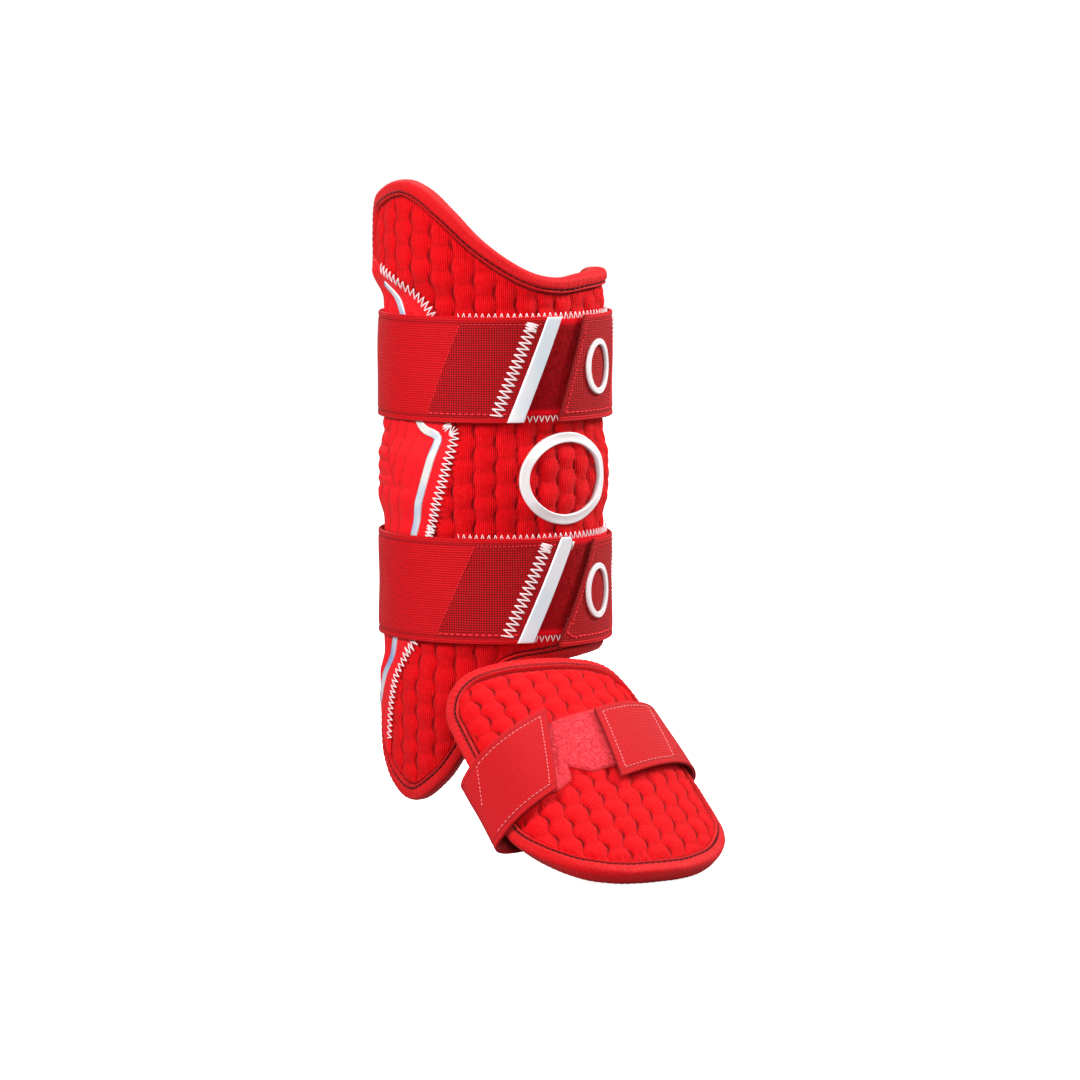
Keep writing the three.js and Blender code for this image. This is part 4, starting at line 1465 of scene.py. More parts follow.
@dataclass
class PadMaker:
    """Builds a quilted pad inside an outline: a fine outer face, a plainer inner face and the rim between."""

    place: Place
    outline: Outline
    rows: int
    columns: int
    wall: float = 9.0
    tuck: float = 7.9
    rim_drop: float = 1.7
    rim_reach: float = 6.5
    # distances from the rim over which painted shade fills the gap next to the binding
    rim_gap_shade: tuple[float, float] = (1.0, 2.7)
    flattened: float = 0.75
    pressed_in: float = 0.4
    pucker: float = 0.3
    pucker_pitch: float = 4.6
    waves: float = 0.45
    inner_round: float = 1.2
    inner_waves: float = 0.35
    coarse: int = 4
    swell_cap: float = 1.0
    swell_fade: float = 12.0
    pressure: float = 34.0
    frames: int = 20

    def grid(self, step: int = 1) -> Array:
        """The flat grid, or every so many of its places."""
        return self.outline.filled(self.rows, self.columns, self.tuck)[::step, ::step]

    @staticmethod
    def from_rim(flat: Array) -> tuple[Array, Array]:
        """Distance of each place to the rim, and the distance along the nearest stretch of rim.

        Args:
            flat: Grid of flat places.

        Returns:
            Both distances at each place.
        """
        sides = flat[:, :1], flat[:, -1:], flat[:1], flat[-1:]
        left, right, top, bottom = (np.linalg.norm(flat - side, axis=-1) for side in sides)
        to_side, to_end = np.minimum(left, right), np.minimum(top, bottom)
        return np.minimum(to_side, to_end), np.where(to_side < to_end, flat[..., 1], flat[..., 0])

    def swell(self, held: Array, step: int) -> Array:
        """How far the filling pushes the face out, from a cloth simulation of a coarse copy of the pad.

        The copy is a closed sheet whose rim, inner face and held places are pinned. It is blown up by an even
        pressure without gravity, and the way that each outer point has moved along its lift is read off.

        Args:
            held: 1 where the face is held down, on the pad's own grid.
            step: How many cells of the grid one coarse cell spans.

        Returns:
            The push in millimetres on the pad's own grid.
        """
        flat = self.grid(step)
        size = flat.shape[:2]
        count = size[0] * size[1]
        shape = sheet_shape(self.place, flat, np.full(size, -self.wall), np.full(size, -1.0))
        mesh = shape.mesh("swell_trial")
        trial = add_object("swell_trial", mesh)
        pinned = held[::step, ::step].copy()
        pinned[[0, -1]], pinned[:, [0, -1]] = 1, 1
        firm = np.concatenate([np.flatnonzero(pinned.ravel() > 0.5), np.arange(count, 2 * count)])
        trial.vertex_groups.new(name="held").add(firm.tolist(), 1.0, "REPLACE")
        cloth = trial.modifiers.new("filling", "CLOTH")
        for key, value in CLOTH_SETTINGS.items():
            setattr(cloth.settings, key, value)
        cloth.settings.uniform_pressure_force = self.pressure
        cloth.settings.effector_weights.gravity = 0
        cloth.point_cache.frame_start, cloth.point_cache.frame_end = 1, self.frames
        scene = bpy.context.scene
        for number in range(1, self.frames + 1):
            scene.frame_set(number)
        moved = np.empty(6 * count, np.float32)
        graph = bpy.context.evaluated_depsgraph_get()
        trial.evaluated_get(graph).data.vertices.foreach_get("co", moved)
        scene.frame_set(1)
        bpy.data.objects.remove(trial)
        bpy.data.meshes.remove(mesh)
        start = shape.points[:count]
        above = unit(laid(self.place, flat, np.zeros(size)).reshape(-1, 3) - start)
        push = np.sum((moved.reshape(-1, 3)[:count] / METRES - start) * above, 1).reshape(size)
        push = np.clip(push, 0, self.swell_cap)
        log.info("filling pushes the face out by %.2f mm at most", float(push.max()))
        return self.refined(push)

    def refined(self, coarse: Array) -> Array:
        """Values of a coarse grid on the pad's own grid, linear between its places.

        Args:
            coarse: Values on the coarse grid.

        Returns:
            Values on the pad's grid.
        """
        rows, columns = (
            np.linspace(0, size - 1, many + 1) for size, many in zip(coarse.shape, (self.rows, self.columns))
        )
        across = np.stack([np.interp(columns, np.arange(coarse.shape[1]), row) for row in coarse])
        return np.stack([np.interp(rows, np.arange(coarse.shape[0]), line) for line in across.T], 1)

    def build(self, quilting: Quilting, held: Callable[[Array, Array], Array]) -> tuple[Shape, Array]:
        """The pad's shape, and 1 for each face of its inner side.

        The outer face is the quilting with a rounded rim, puckers along that rim, the swell of the filling
        and slow waves. It is pressed flat where it is held. The inner face has only a rounded rim and slow
        waves.

        Args:
            quilting: The pattern of its channels.
            held: 1 at flat places where a strap or a panel holds the face flat.

        Returns:
            The shape and the mask of its faces.
        """
        flat = self.grid()
        x, y = flat[..., 0], flat[..., 1]
        pressed = held(x, y)
        rim, along = self.from_rim(flat)
        relief, painted_shade_and_edge = quilting.relief(x, y)
        shown = rise(rim, 0.5, self.rim_reach) * (1 - self.flattened * pressed)
        turns = 2 * np.pi * along / self.pucker_pitch + 1.5 * ripple(x, y, 31.0, 4.0)
        pucker = self.pucker * np.sin(turns) * bell(rim - 2.5, 3.5)
        push = self.swell(pressed, 2 * self.coarse)
        high = (
            -self.rim_drop * (1 - rise(rim, 0, self.rim_reach))
            + (relief + self.waves * ripple(x, y, 61.0, 2.0)) * shown
            + pucker * (1 - pressed)
            + push * rise(rim, 0, self.swell_fade)
            - self.pressed_in * pressed
        )
        coarse = flat[:: self.coarse, :: self.coarse]
        inner_rim, _ = self.from_rim(coarse)
        waves = self.inner_waves * ripple(coarse[..., 0], coarse[..., 1], 38.0, 6.0) * rise(inner_rim, 2, 10)
        low = self.inner_round * (1 - rise(inner_rim, 0, self.rim_reach)) - self.wall + waves
        # outer face mask: painted groove shade where the quilting shows, and painted shade in the gap beside
        # the binding
        return self.closed(flat, high, coarse, low, np.maximum(painted_shade_and_edge * shown, 1 - rise(rim, *self.rim_gap_shade)))

    def closed(
        self, flat: Array, high: Array, coarse: Array, low: Array, painted_shade_and_edge: Array
    ) -> tuple[Shape, Array]:
        """Joins the fine outer face to the coarse inner one by fans along their rims.

        Args:
            flat: Fine grid of flat places.
            high: Lift of the outer face on it.
            coarse: Coarse grid.
            low: Lift of the inner face on it.
            painted_shade_and_edge: Painted shade of the outer face, in its grooves and along its rim.

        Returns:
            The shape and the mask of its inner faces.
        """
        points = [laid(self.place, *side).reshape(-1, 3) for side in ((flat, high), (coarse, low))]
        start = len(points[0])
        upper, lower = (grid_faces(*grid.shape[:2])[0] for grid in (flat, coarse))
        fine, rough = rim_numbers(*flat.shape[:2]), rim_numbers(*coarse.shape[:2]) + start
        steps, half = self.coarse, self.coarse // 2
        row = np.concatenate([fine.reshape(-1, steps), np.roll(fine, -steps).reshape(-1, steps)[:, :1]], 1)
        here, there = rough, np.roll(rough, -1)
        fans = [np.stack([here if k < half else there, row[:, k + 1], row[:, k]], 1) for k in range(steps)]
        tris = np.concatenate([*fans, np.stack([here, there, row[:, half]], 1)])
        quads = np.concatenate([upper, (lower + start)[:, ::-1]])
        places = np.concatenate([flat.reshape(-1, 2), coarse.reshape(-1, 2)])
        corners = np.concatenate([places[quads].reshape(-1, 2), places[tris].reshape(-1, 2)])
        masks = {"painted_shade_and_edge": np.concatenate([painted_shade_and_edge.ravel(), np.zeros(len(points[1]))])}
        lining = np.concatenate([np.zeros(len(upper)), np.ones(len(lower) + len(tris))])
        return Shape(np.concatenate(points), quads, corners, masks, tris).outward(), lining


@dataclass
class BindingMaker:
    """Builds the rolled tape round an outline, with its sewn groove, its lip and its stitches."""

    place: Place
    outline: Outline
    width: float = 8.8
    thickness: float = 11.0
    middle: float = -4.5
    square: float = 0.62
    groove_at: float = 6.7
    groove_width: float = 0.6
    groove_depth: float = 1.1
    lip: float = 0.7
    lip_beside: float = 1.35
    lip_width: float = 0.6
    gather: float = 0.16
    uneven: float = 0.3
    stitch: float = 3.8
    stitch_share: float = 0.64
    thread: Thread = Thread(0.46, 0.3, 5, 6)
    pitch: float = 1.2
    points: int = 60

    def section(self) -> tuple[Array, Array, Array]:
        """Inset, lift and the groove's painted shade round the roll: a rounded box with a groove near its
        inner edge.

        Returns:
            The three at each point of the section.
        """
        angle = np.linspace(0, 2 * np.pi, self.points, endpoint=False)
        cosine, sine = np.cos(angle), np.sin(angle)
        inset = self.width / 2 * (1 - np.sign(cosine) * np.abs(cosine) ** self.square)
        lift = self.middle + self.thickness / 2 * np.sign(sine) * np.abs(sine) ** self.square
        groove = bell(inset - self.groove_at, self.groove_width)
        lip = self.lip * bell(inset - self.groove_at - self.lip_beside, self.lip_width)
        return inset, lift + np.sign(sine) * (lip - groove * self.groove_depth), groove

    def build(self) -> Shape:
        """The roll, gathered a little between its stitches.

        Returns:
            The closed shape.
        """
        count = int(self.outline.total / self.pitch)
        distance = np.linspace(0, self.outline.total, count, endpoint=False)[:, None]
        inset, lift, groove = self.section()
        gather = self.gather * np.sin(2 * np.pi * distance / self.stitch)
        gather = gather + self.uneven * ripple(distance, 0 * distance, 37.0, 3.0)
        flat = self.outline.inside(distance + 0 * inset, inset + 0 * distance)
        points = laid(self.place, flat, lift + gather * np.sign(lift - self.middle))
        around = run_lengths(np.stack([inset, lift], 1))
        around = np.append(around, around[-1] + 0.5)
        shape = roll_shape(points, np.append(distance, self.outline.total), around)
        # the groove's painted shade
        shape.masks = {"painted_shade_and_edge": np.tile(groove, count)}
        return shape

    def stitches(self) -> Shape:
        """Stitches in the groove of the outer face.

        Returns:
            All of them as one shape.
        """
        count = int(self.outline.total / self.stitch)
        distance = np.linspace(0, self.outline.total, count, endpoint=False)
        inset = np.full(count, self.groove_at)
        ends = (self.outline.inside(distance + more, inset) for more in (0, self.stitch_share * self.stitch))
        across = np.abs(2 * self.groove_at / self.width - 1) ** (1 / self.square)
        level = self.middle + self.thickness / 2 * np.sqrt(1 - across**2) ** self.square - self.groove_depth
        return self.thread.shape(self.place, *ends, float(level) + 0.15)


SHIN_EDGE = np.array([
    (-78.5, 0.311), (-71, 0.325), (-20, 0.3255), (3, 0.3206), (20, 0.331), (46, 0.379), (64, 0.43),
    (77, 0.463), (90, 0.476), (109, 0.461), (121, 0.441), (127.5, 0.395), (131.5, 0.335), (134.5, 0.28),
    (135.5, 0.05),
    (135, -0.24), (133, -0.37), (125, -0.4326), (105, -0.5), (86, -0.522), (68, -0.488), (56.5, -0.443),
    (48.5, -0.396), (41, -0.346), (32, -0.311), (10, -0.298), (-20, -0.291), (-71, -0.287), (-78.5, -0.273),
    (-81, -0.24), (-82, -0.1), (-82, 0.15), (-81, 0.283),
])
SHIN_CORNERS = (0, 11, 16, 28)
PANEL_EDGE = np.array([
    (116, 0.345), (93, 0.311), (74, 0.26), (68, 0.18), (66, 0.09), (61.5, 0.069), (68, -0.016), (77, -0.098),
    (82, -0.178), (86, -0.26), (94, -0.289), (104, -0.37), (107, -0.455),
])
TRIM_LINE = np.array([
    (106, 0.307), (95, 0.264), (88, 0.18), (82, 0.092), (71.6, 0.071), (70, 0.0655), (71, 0.052),
    (78, -0.016), (86, -0.092), (95, -0.178), (103, -0.262), (110, -0.318), (121, -0.372),
])
FOOT_EDGE = np.array([
    (0, 0), (0.37, 0), (0.64, 0.012), (0.815, 0.059), (0.926, 0.133), (0.955, 0.214), (0.985, 0.45),
    (1, 0.63), (0.963, 0.736), (0.81, 0.85), (0.59, 0.94), (0.32, 0.988), (0, 1),
])
FOOT_PATCH = np.array([
    (-0.62, 0.42, 0.62), (-0.46, 0.37, 0.618), (-0.32, 0.345, 0.585), (-0.31, 0.34, 0.525),
    (-0.12, 0.315, 0.565), (0.1, 0.295, 0.545), (0.5, 0.24, 0.47),
])

SHIN = ShinForm()
FOOT = FootForm()


def shin_flat(table: Array) -> Array:
    """Flat places on the shin from a table of turns in degrees and shares of the height."""
    return np.stack([SHIN.arc(table[:, 0]), table[:, 1] * SHIN.height], 1)


def shin_outline() -> Outline:
    """The edge of the shin part."""
    return Outline(shin_flat(SHIN_EDGE), SHIN_CORNERS)


def foot_outline() -> Outline:
    """The edge of the foot guard, from its half table mirrored across the ridge.

    Returns:
        The outline.
    """
    mirrored = FOOT_EDGE[1:-1][::-1] * (-1, 1)
    whole = np.concatenate([FOOT_EDGE, mirrored])
    start = len(FOOT_EDGE) + list(FOOT_EDGE[1:-1][::-1, 1]).index(0.059)
    rows = np.roll(whole, -start, 0)
    corners = [number for number, row in enumerate(rows) if row[1] in (0.059, 0.85)]
    return Outline(rows * (FOOT.half_width, -FOOT.length), corners)


PANEL_FRONT = open_curve(shin_flat(PANEL_EDGE))
TRIM_ROUTE = open_curve(shin_flat(TRIM_LINE))


def panel_front(z: Array) -> Array:
    """Arc of the side panel's front edge at a height."""
    order = np.argsort(PANEL_FRONT[:, 1])
    return np.interp(z, PANEL_FRONT[order, 1], PANEL_FRONT[order, 0])


@dataclass(frozen=True)
class Layers:
    """Lifts of the sewn and fastened layers above the padding's face, low and high."""

    loop: tuple[float, float] = (-0.2, 1.7)
    hook: tuple[float, float] = (2.1, 3.0)
    strap: tuple[float, float] = (3.2, 4.9)
    label: tuple[float, float] = (4.9, 5.75)
    tab_ring: tuple[float, float] = (4.8, 6.5)
    panel: tuple[float, float] = (-0.3, 1.5)
    trim: tuple[float, float] = (1.3, 2.25)
    ring: tuple[float, float] = (-0.6, 1.9)


LAYERS = Layers()


@dataclass
class ShinPart:
    """The padded shin shell: quilted pad, binding, side panel with its trim, and the ring on the front."""

    rows: int = 296
    columns: int = 232
    pressure: float = 90.0
    panel_rim: float = 10.1
    panel_pitch: float = 1.3
    panel_corner: float = 0.9
    spine: float = 101.0
    spine_lean: float = 0.45
    climb: float = 1.2
    slant: float = 0.3
    level_share: float = 0.7
    fold_pitch: float = 11.0
    fold_turn: float = -6.0
    fold_rise: float = 1.3
    fold_crease: float = 0.6
    trim_width: float = 5.0
    trim_corner: float = 0.7
    edge_stitch: Stitch = Stitch(Thread(0.38, 0.5), 6.2, 3.3)
    close_stitch: Stitch = Stitch(Thread(0.38, 0.55), 5.6, 1.9)
    close_runs: tuple[tuple[float, float], ...] = ((23.5, 31.0), (-34.0, -24.0))
    ring_size: tuple[float, float] = (60.0, 50.0)
    ring_stroke: float = 5.5
    ring_bevel: float = 0.7
    outline: Outline = field(default_factory=shin_outline)

    def held(self, x: Array, y: Array) -> Array:
        """1 under a calf strap or the side panel, where the quilting lies flat.

        Args:
            x: Arc.
            y: Height.

        Returns:
            The share at each place.
        """
        reach = SHIN.strap_width / 2
        upper, lower = SHIN.strap_spacing / 2, -(SHIN.strap_spacing + SHIN.strap_drop) / 2
        beside = np.minimum(np.abs(y - upper), np.abs(y - lower))
        return np.maximum(1 - rise(beside, reach - 1.5, reach + 1.5), rise(x - panel_front(y), -2.5, 0.5))

    def pad(self) -> None:
        """The quilted pad with its plain lining."""
        maker = PadMaker(SHIN.place, self.outline, self.rows, self.columns, pressure=self.pressure)
        shape, lining = maker.build(Quilting(), self.held)
        piece = add_piece("shin_pad_quilted", shape, QUILT, "quilt", ["shin_pad"], LINING, lining)

    def binding(self) -> None:
        """The rolled binding and its stitches."""
        maker = BindingMaker(SHIN.place, self.outline)
        add_piece("shin_binding_roll", maker.build(), BINDING, "binding", ["shin_binding"])
        add_piece("shin_binding_stitches", maker.stitches(), DARK_THREAD, "binding")

    def panel_grid(self) -> Array:
        """Flat places over the side panel, from its front edge to the margin before the binding.

        Returns:
            Places down the front edge by places across the panel by 2.
        """
        spots, _ = spaced(PANEL_FRONT, self.panel_pitch)
        distance = np.linspace(self.outline.corner_at[1], self.outline.corner_at[3], 900)
        rear = self.outline.inside(distance, self.panel_rim)
        rear = rear[rear[:, 0] > panel_front(rear[:, 1])]
        order = np.argsort(rear[:, 1])
        far = np.interp(spots[:, 1], rear[order, 1], rear[order, 0])
        width = np.maximum(far - spots[:, 0], 1.0)
        share = graded(60.0, self.panel_pitch, self.panel_corner) / 60.0
        across = spots[:, :1] + width[:, None] * share[None]
        return np.stack([across, np.broadcast_to(spots[:, 1:], across.shape)], -1)

    def folds(self, x: Array, y: Array) -> tuple[Array, Array]:
        """Raised folds of the panel, like the ribs of a leaf, and the creases between them.

        A spine leans back as it goes up. In front of it the folds climb forward, so their number is the
        height less the climb times the distance from the spine, over a pitch. Behind it they lie level and
        closer. Below the turn they run along the leg, and their number is the arc plus the slant times the
        height, over the pitch. A fold stands as a power of the sine of half a turn for each number, and
        painted shade marks a crease where the number is whole and along the spine above the turn. The folds
        and the painted shade fade out beside the trim and the panel's front edge.

        Args:
            x: Arc over the panel.
            y: Height.

        Returns:
            The lift of the folds and the painted shade in their creases, from 0 to 1.
        """
        away = SHIN.arc(self.spine) + self.spine_lean * y - x
        upper = y > self.fold_turn
        leaf = np.where(away > 0, y - self.climb * away, y / self.level_share)
        number = np.where(upper, leaf, x + self.slant * y) / self.fold_pitch
        stand = np.abs(np.sin(np.pi * number)) ** 0.7
        beside = np.where(upper, rise(np.abs(away), 0, 2.5), 1.0) * rise(np.abs(y - self.fold_turn), 0, 2.5)
        crease = bell((number - np.round(number)) * self.fold_pitch, self.fold_crease)
        crease = np.maximum(crease, bell(away, self.fold_crease) * upper)
        trim = TRIM_ROUTE[::4]
        clear = np.min(np.hypot(x[..., None] - trim[:, 0], y[..., None] - trim[:, 1]), -1)
        shown = rise(clear, 4, 11) * rise(x - panel_front(y), 8, 14)
        return shown * self.fold_rise * stand * beside, shown * crease

    def panel(self) -> None:
        """The smooth side panel with its raised folds."""
        flat = self.panel_grid()
        x, y = flat[..., 0], flat[..., 1]
        edge = np.minimum(x - x[:, :1], x[:, -1:] - x)
        rank = np.arange(len(flat))
        ends = np.minimum(rank, rank[::-1])[:, None] * self.panel_pitch
        thick = rounding(np.minimum(edge, ends + 0.12), self.panel_corner)
        folds, crease = self.folds(x, y)
        inside = rise(np.minimum(edge, ends), 1.5, 7)
        relief = (folds + 0.25 * ripple(x, y, 44.0, 7.0)) * inside
        # the creases between the folds get painted shade
        shape = layer_shape(SHIN.place, flat, LAYERS.panel, thick, relief, {"painted_shade_and_edge": crease * inside})
        add_piece("side_panel_fabric", shape, PANEL, "panel", ["side_panel"])

    def trim(self) -> None:
        """The silver strip on the panel, with rounded edges and painted shade along its rear rim."""
        spots, beside = spaced(TRIM_ROUTE, 1.2)
        across = graded(self.trim_width, 1.0, self.trim_corner) - self.trim_width / 2
        flat = spots[:, None] + beside[:, None] * across[None, :, None]
        to_rear = np.broadcast_to(self.trim_width / 2 - across, flat.shape[:2])
        thick = rounding(np.minimum(to_rear, self.trim_width - to_rear), self.trim_corner)
        # painted shade along the rear rim, where the strip meets the panel
        shape = layer_shape(
            SHIN.place, flat, LAYERS.trim, thick, masks={"painted_shade_and_edge": 1 - rise(to_rear, 0.3, 0.75)}
        )
        add_piece("side_trim_strip", shape, TRIM_FILM, "silver", ["side_trim"])

    def edge_zigzag(self) -> None:
        """White zigzag that sews the panel's front edge to the quilting, closer in two short runs."""
        level = PANEL_FRONT[:, 1]
        inner = PANEL_FRONT[(level < 0.345 * SHIN.height - 4) & (level > -0.43 * SHIN.height)]
        runs = [self.edge_stitch.zigzag(SHIN.place, inner + (-0.6, 0), 1.35)]
        for low, high in self.close_runs:
            part = inner[(inner[:, 1] > low) & (inner[:, 1] < high)] + (-0.9, 0)
            runs.append(self.close_stitch.zigzag(SHIN.place, part, 1.6))
        add_piece("side_panel_zigzag", Shape.joined(runs), WHITE_THREAD, "rubber")

    def front_ring(self) -> None:
        """The plain oval ring moulded on the front."""
        shape = ring_shape(np.zeros(2), self.ring_size, self.ring_stroke, LAYERS.ring, self.ring_bevel)
        add_piece("front_ring_moulded", shape, RUBBER, "rubber", ["front_emblem"])

    def build(self) -> None:
        """Makes every piece of the shin part."""
        for make in (self.pad, self.binding, self.panel, self.trim, self.edge_zigzag, self.front_ring):
            make()


def ring_shape(
    centre: Array, size: tuple[float, float], stroke: float, layer: tuple[float, float], bevel: float
) -> Shape:
    """An oval ring with bevelled shoulders and a slightly hollow top, on the shin.

    Args:
        centre: Flat place of its middle.
        size: Outer width and height.
        stroke: Width of the ring itself.
        layer: Low and high lift.
        bevel: Size of its shoulders.

    Returns:
        The closed shape.
    """
    low, high = layer
    rising = np.array([
        (0, low),
        (0.02, high - bevel),
        (0.3 * bevel, high - 0.3 * bevel),
        (bevel, high),
        (1.6 * bevel, high - 0.05),
    ])
    falling = rising[::-1] * (-1, 1) + (stroke, 0)
    profile = np.concatenate([rising, [(stroke / 2, high - 0.2)], falling, [(stroke / 2, low)]])
    sections = 150
    angle = np.linspace(0, 2 * np.pi, sections, endpoint=False)
    oval = np.stack([np.cos(angle), np.sin(angle)], 1)[:, None]
    flat = centre + oval * (np.array(size) / 2 - profile[:, :1])
    points = laid(SHIN.place, flat, np.broadcast_to(profile[:, 1], flat.shape[:2]))
    around = np.linspace(0, 2 * stroke, len(profile) + 1)
    return roll_shape(points, np.linspace(0, 170, sections + 1), around)


@dataclass
class CalfStrap:
    """An elastic strap round the calf: the band, its hook pads, end label, ring, loop patch and stitches."""

    name: str
    side: int
    long_top: float
    long_bottom: float
    tab_top: float
    tab_bottom: float
    drop: float
    drop_turns: tuple[float, float] = (180.0, 340.0)
    pitch: float = 1.3
    cut_fade: float = 50.0
    label_width: float = 8.7
    label_corner: float = 0.6
    hook_length: float = 44.0
    hook_inset: float = 2.0
    sewn_length: float = 54.0
    sewn_depth: float = 0.12
    fold: float = 3.4
    fold_width: float = 0.45
    fold_depth: float = 0.35
    wave: float = 0.5
    wave_pitch: float = 90.0
    corner: float = 0.8
    stretch: float = 1.025
    ring_turn: float = -20.0
    ring_size: tuple[float, float] = (22.0, 30.0)
    ring_stroke: float = 3.2
    ring_bevel: float = 0.55
    patch_turn: float = 60.0
    patch_width: float = 53.0
    patch_shift: float = 0.9
    fibres: int = 2600
    fibre: Thread = Thread(0.085, 0.42, 3, 4)
    patch_stitch: Stitch = Stitch(Thread(0.27, 0.55), 5.0, 3.5)
    label_stitch: Stitch = Stitch(Thread(0.47, 0.5), 6.8, 3.5)
    close_stitch: Stitch = Stitch(Thread(0.45, 0.5), 6.2, 1.5)
    thick_stitch: Stitch = Stitch(Thread(0.42, 0.5, 6, 6), 2.5, 3.3)
    thin_stitch: Stitch = Stitch(Thread(0.24, 0.34, 5, 5), 1.5, 2.3)

    def level(self, turn: Array) -> Array:
        """Height of the strap's middle at a turn: it drops a little behind the leg, and stays so."""
        onward = np.where(turn < 0, turn + 360, turn)
        return self.side * SHIN.strap_spacing / 2 - self.drop * rise(onward, *self.drop_turns)

    def flat(self, turn: Array, part: Array) -> Array:
        """Flat place at a turn and a part of the width, -0.5 at the bottom and 0.5 at the top."""
        return np.stack([SHIN.arc(turn), self.level(turn) + part * SHIN.strap_width], -1)

    def cut(self, tab: bool, part: Array) -> Array:
        """Turn of an end's slanted cut at a part of the width."""
        top, bottom = (self.tab_top, self.tab_bottom) if tab else (self.long_top, self.long_bottom)
        return (top + bottom) / 2 - (bottom - top) * part

    def spot(self, tab: bool, inward: Array, part: Array) -> Array:
        """Flat place at a distance in millimetres from an end's cut and a part of the width."""
        inward, part = np.broadcast_arrays(np.asarray(inward, float), np.asarray(part, float))
        return self.flat(self.cut(tab, part) + np.degrees(inward / SHIN.radius) * (-1 if tab else 1), part)

    def band_grid(self) -> tuple[Array, Array, Array]:
        """Flat places of the whole band, the turn of each and its part of the width.

        The slant of a cut fades away from it over one and a half times the fading angle.

        Returns:
            The flat places, the turns and the parts of the width.
        """
        start = (self.long_top + self.long_bottom) / 2
        length = (self.tab_top + self.tab_bottom) / 2 + 360 - start
        share = (graded(float(SHIN.arc(length)), self.pitch, self.corner) / float(SHIN.arc(length)))[:, None]
        part = (graded(SHIN.strap_width, self.pitch, self.corner) / SHIN.strap_width - 0.5)[None]
        from_fade, to_fade = (1 - rise(way * length, 0, 1.5 * self.cut_fade) for way in (share, 1 - share))
        slant = (self.long_bottom - self.long_top) * from_fade + (self.tab_bottom - self.tab_top) * to_fade
        turn = start + length * share - slant * part
        part = np.broadcast_to(part, turn.shape)
        return self.flat(turn, part), turn, part

    def band(self) -> None:
        """The woven band: rounded edges, a fold line inside each edge, and slight waves off the leg."""
        flat, turn, part = self.band_grid()
        edge = SHIN.strap_width * (0.5 - np.abs(part))
        from_long = SHIN.arc(turn - self.cut(False, part))
        from_tab = SHIN.arc(self.cut(True, part) + 360 - turn)
        ends = np.clip(np.minimum(from_long, from_tab), 0, None)
        line = bell(edge - self.fold, self.fold_width)
        waves = self.wave * ripple(flat[..., 0], flat[..., 1], self.wave_pitch, 3.0 + self.side)
        waves = waves * rise(ends, 4, 40)
        middle = sum(LAYERS.strap) / 2 + waves
        half = (LAYERS.strap[1] - LAYERS.strap[0]) / 2 * rounding(np.minimum(edge, ends), self.corner)
        beyond = np.minimum(from_long - self.sewn_length, from_tab - self.hook_length - 4) + 1
        sewn = (1 - rise(beyond, 0, 1.6)) * rise(edge, self.fold - 0.5, self.fold + 0.5)
        # painted shade in the fold line inside each edge, and a darker tone along the tab's cut end
        fold_shade_and_cut_end = np.maximum(0.8 * line, 1.3 * (1 - rise(from_tab, 0.3, 1.1)))
        high = middle + half - self.fold_depth * line - self.sewn_depth * sewn
        shape = sheet_shape(SHIN.place, flat, middle - half, high, {"sewn": sewn, "painted_shade_and_edge": fold_shade_and_cut_end})
        piece = add_piece(f"{self.name}_strap_band", shape, ELASTIC, "elastic", [f"{self.name}_strap"])
        run = float(run_lengths(flat[:, flat.shape[1] // 2])[-1])

    def end_sheet(
        self,
        names: tuple[str, str],
        tab: bool,
        start: float,
        length: float,
        inset: float,
        layer: tuple[float, float],
        finish: Finish,
        slot: str,
        corner: float = 0.35,
    ) -> None:
        """A small sheet parallel to an end's cut.

        Args:
            names: Names of the piece and of the CAD node that it stands for, after the strap's own name.
            tab: Whether it lies at the tab's end.
            start: Distance from the cut to its near side.
            length: Its length along the strap.
            inset: Distance from the strap's edges.
            layer: Low and high lift.
            finish: Its finish.
            slot: The record's material slot.
            corner: Radius of its edges.
        """
        width = SHIN.strap_width - 2 * inset
        across, along = graded(width, self.pitch, corner), graded(length, 1.1, corner)
        flat = self.spot(tab, (start + along)[:, None], ((across + inset) / SHIN.strap_width - 0.5)[None])
        to_end, to_side = np.minimum(along, length - along), np.minimum(across, width - across)
        edge = np.minimum(to_end[:, None], to_side[None])
        shape = layer_shape(SHIN.place, flat, layer, rounding(edge, corner))
        piece, node = (f"{self.name}_{name}" for name in names)
        add_piece(piece, shape, finish, slot, [node])

    def patch(self) -> None:
        """The fuzzy loop patch on the padding, with a smooth welt along its long sides."""
        arcs = SHIN.arc(np.linspace(-self.patch_turn, self.patch_turn, 116))
        across = graded(self.patch_width, 1.1, self.corner)
        level = self.side * SHIN.strap_spacing / 2 + self.patch_shift
        x, z = np.meshgrid(arcs, level + across - self.patch_width / 2, indexing="ij")
        edge = np.broadcast_to(np.minimum(across, self.patch_width - across), x.shape)
        fuzz = 0.16 * ripple(x, z, 3.1, 2.0) + 0.12 * ripple(x, z, 1.9, 5.0)
        relief = fuzz * rise(edge, 4, 5) + 0.35 * bell(edge - 2.2, 1.7)
        thick, masks = rounding(edge, self.corner), {"painted_shade_and_edge": 1 - rise(edge, 3.4, 4.4)}
        shape = layer_shape(SHIN.place, np.stack([x, z], -1), LAYERS.loop, thick, relief, masks)
        add_piece(f"{self.name}_loop_patch_pile", shape, FUZZ_DARK, "loop", [f"{self.name}_loop_patch"])

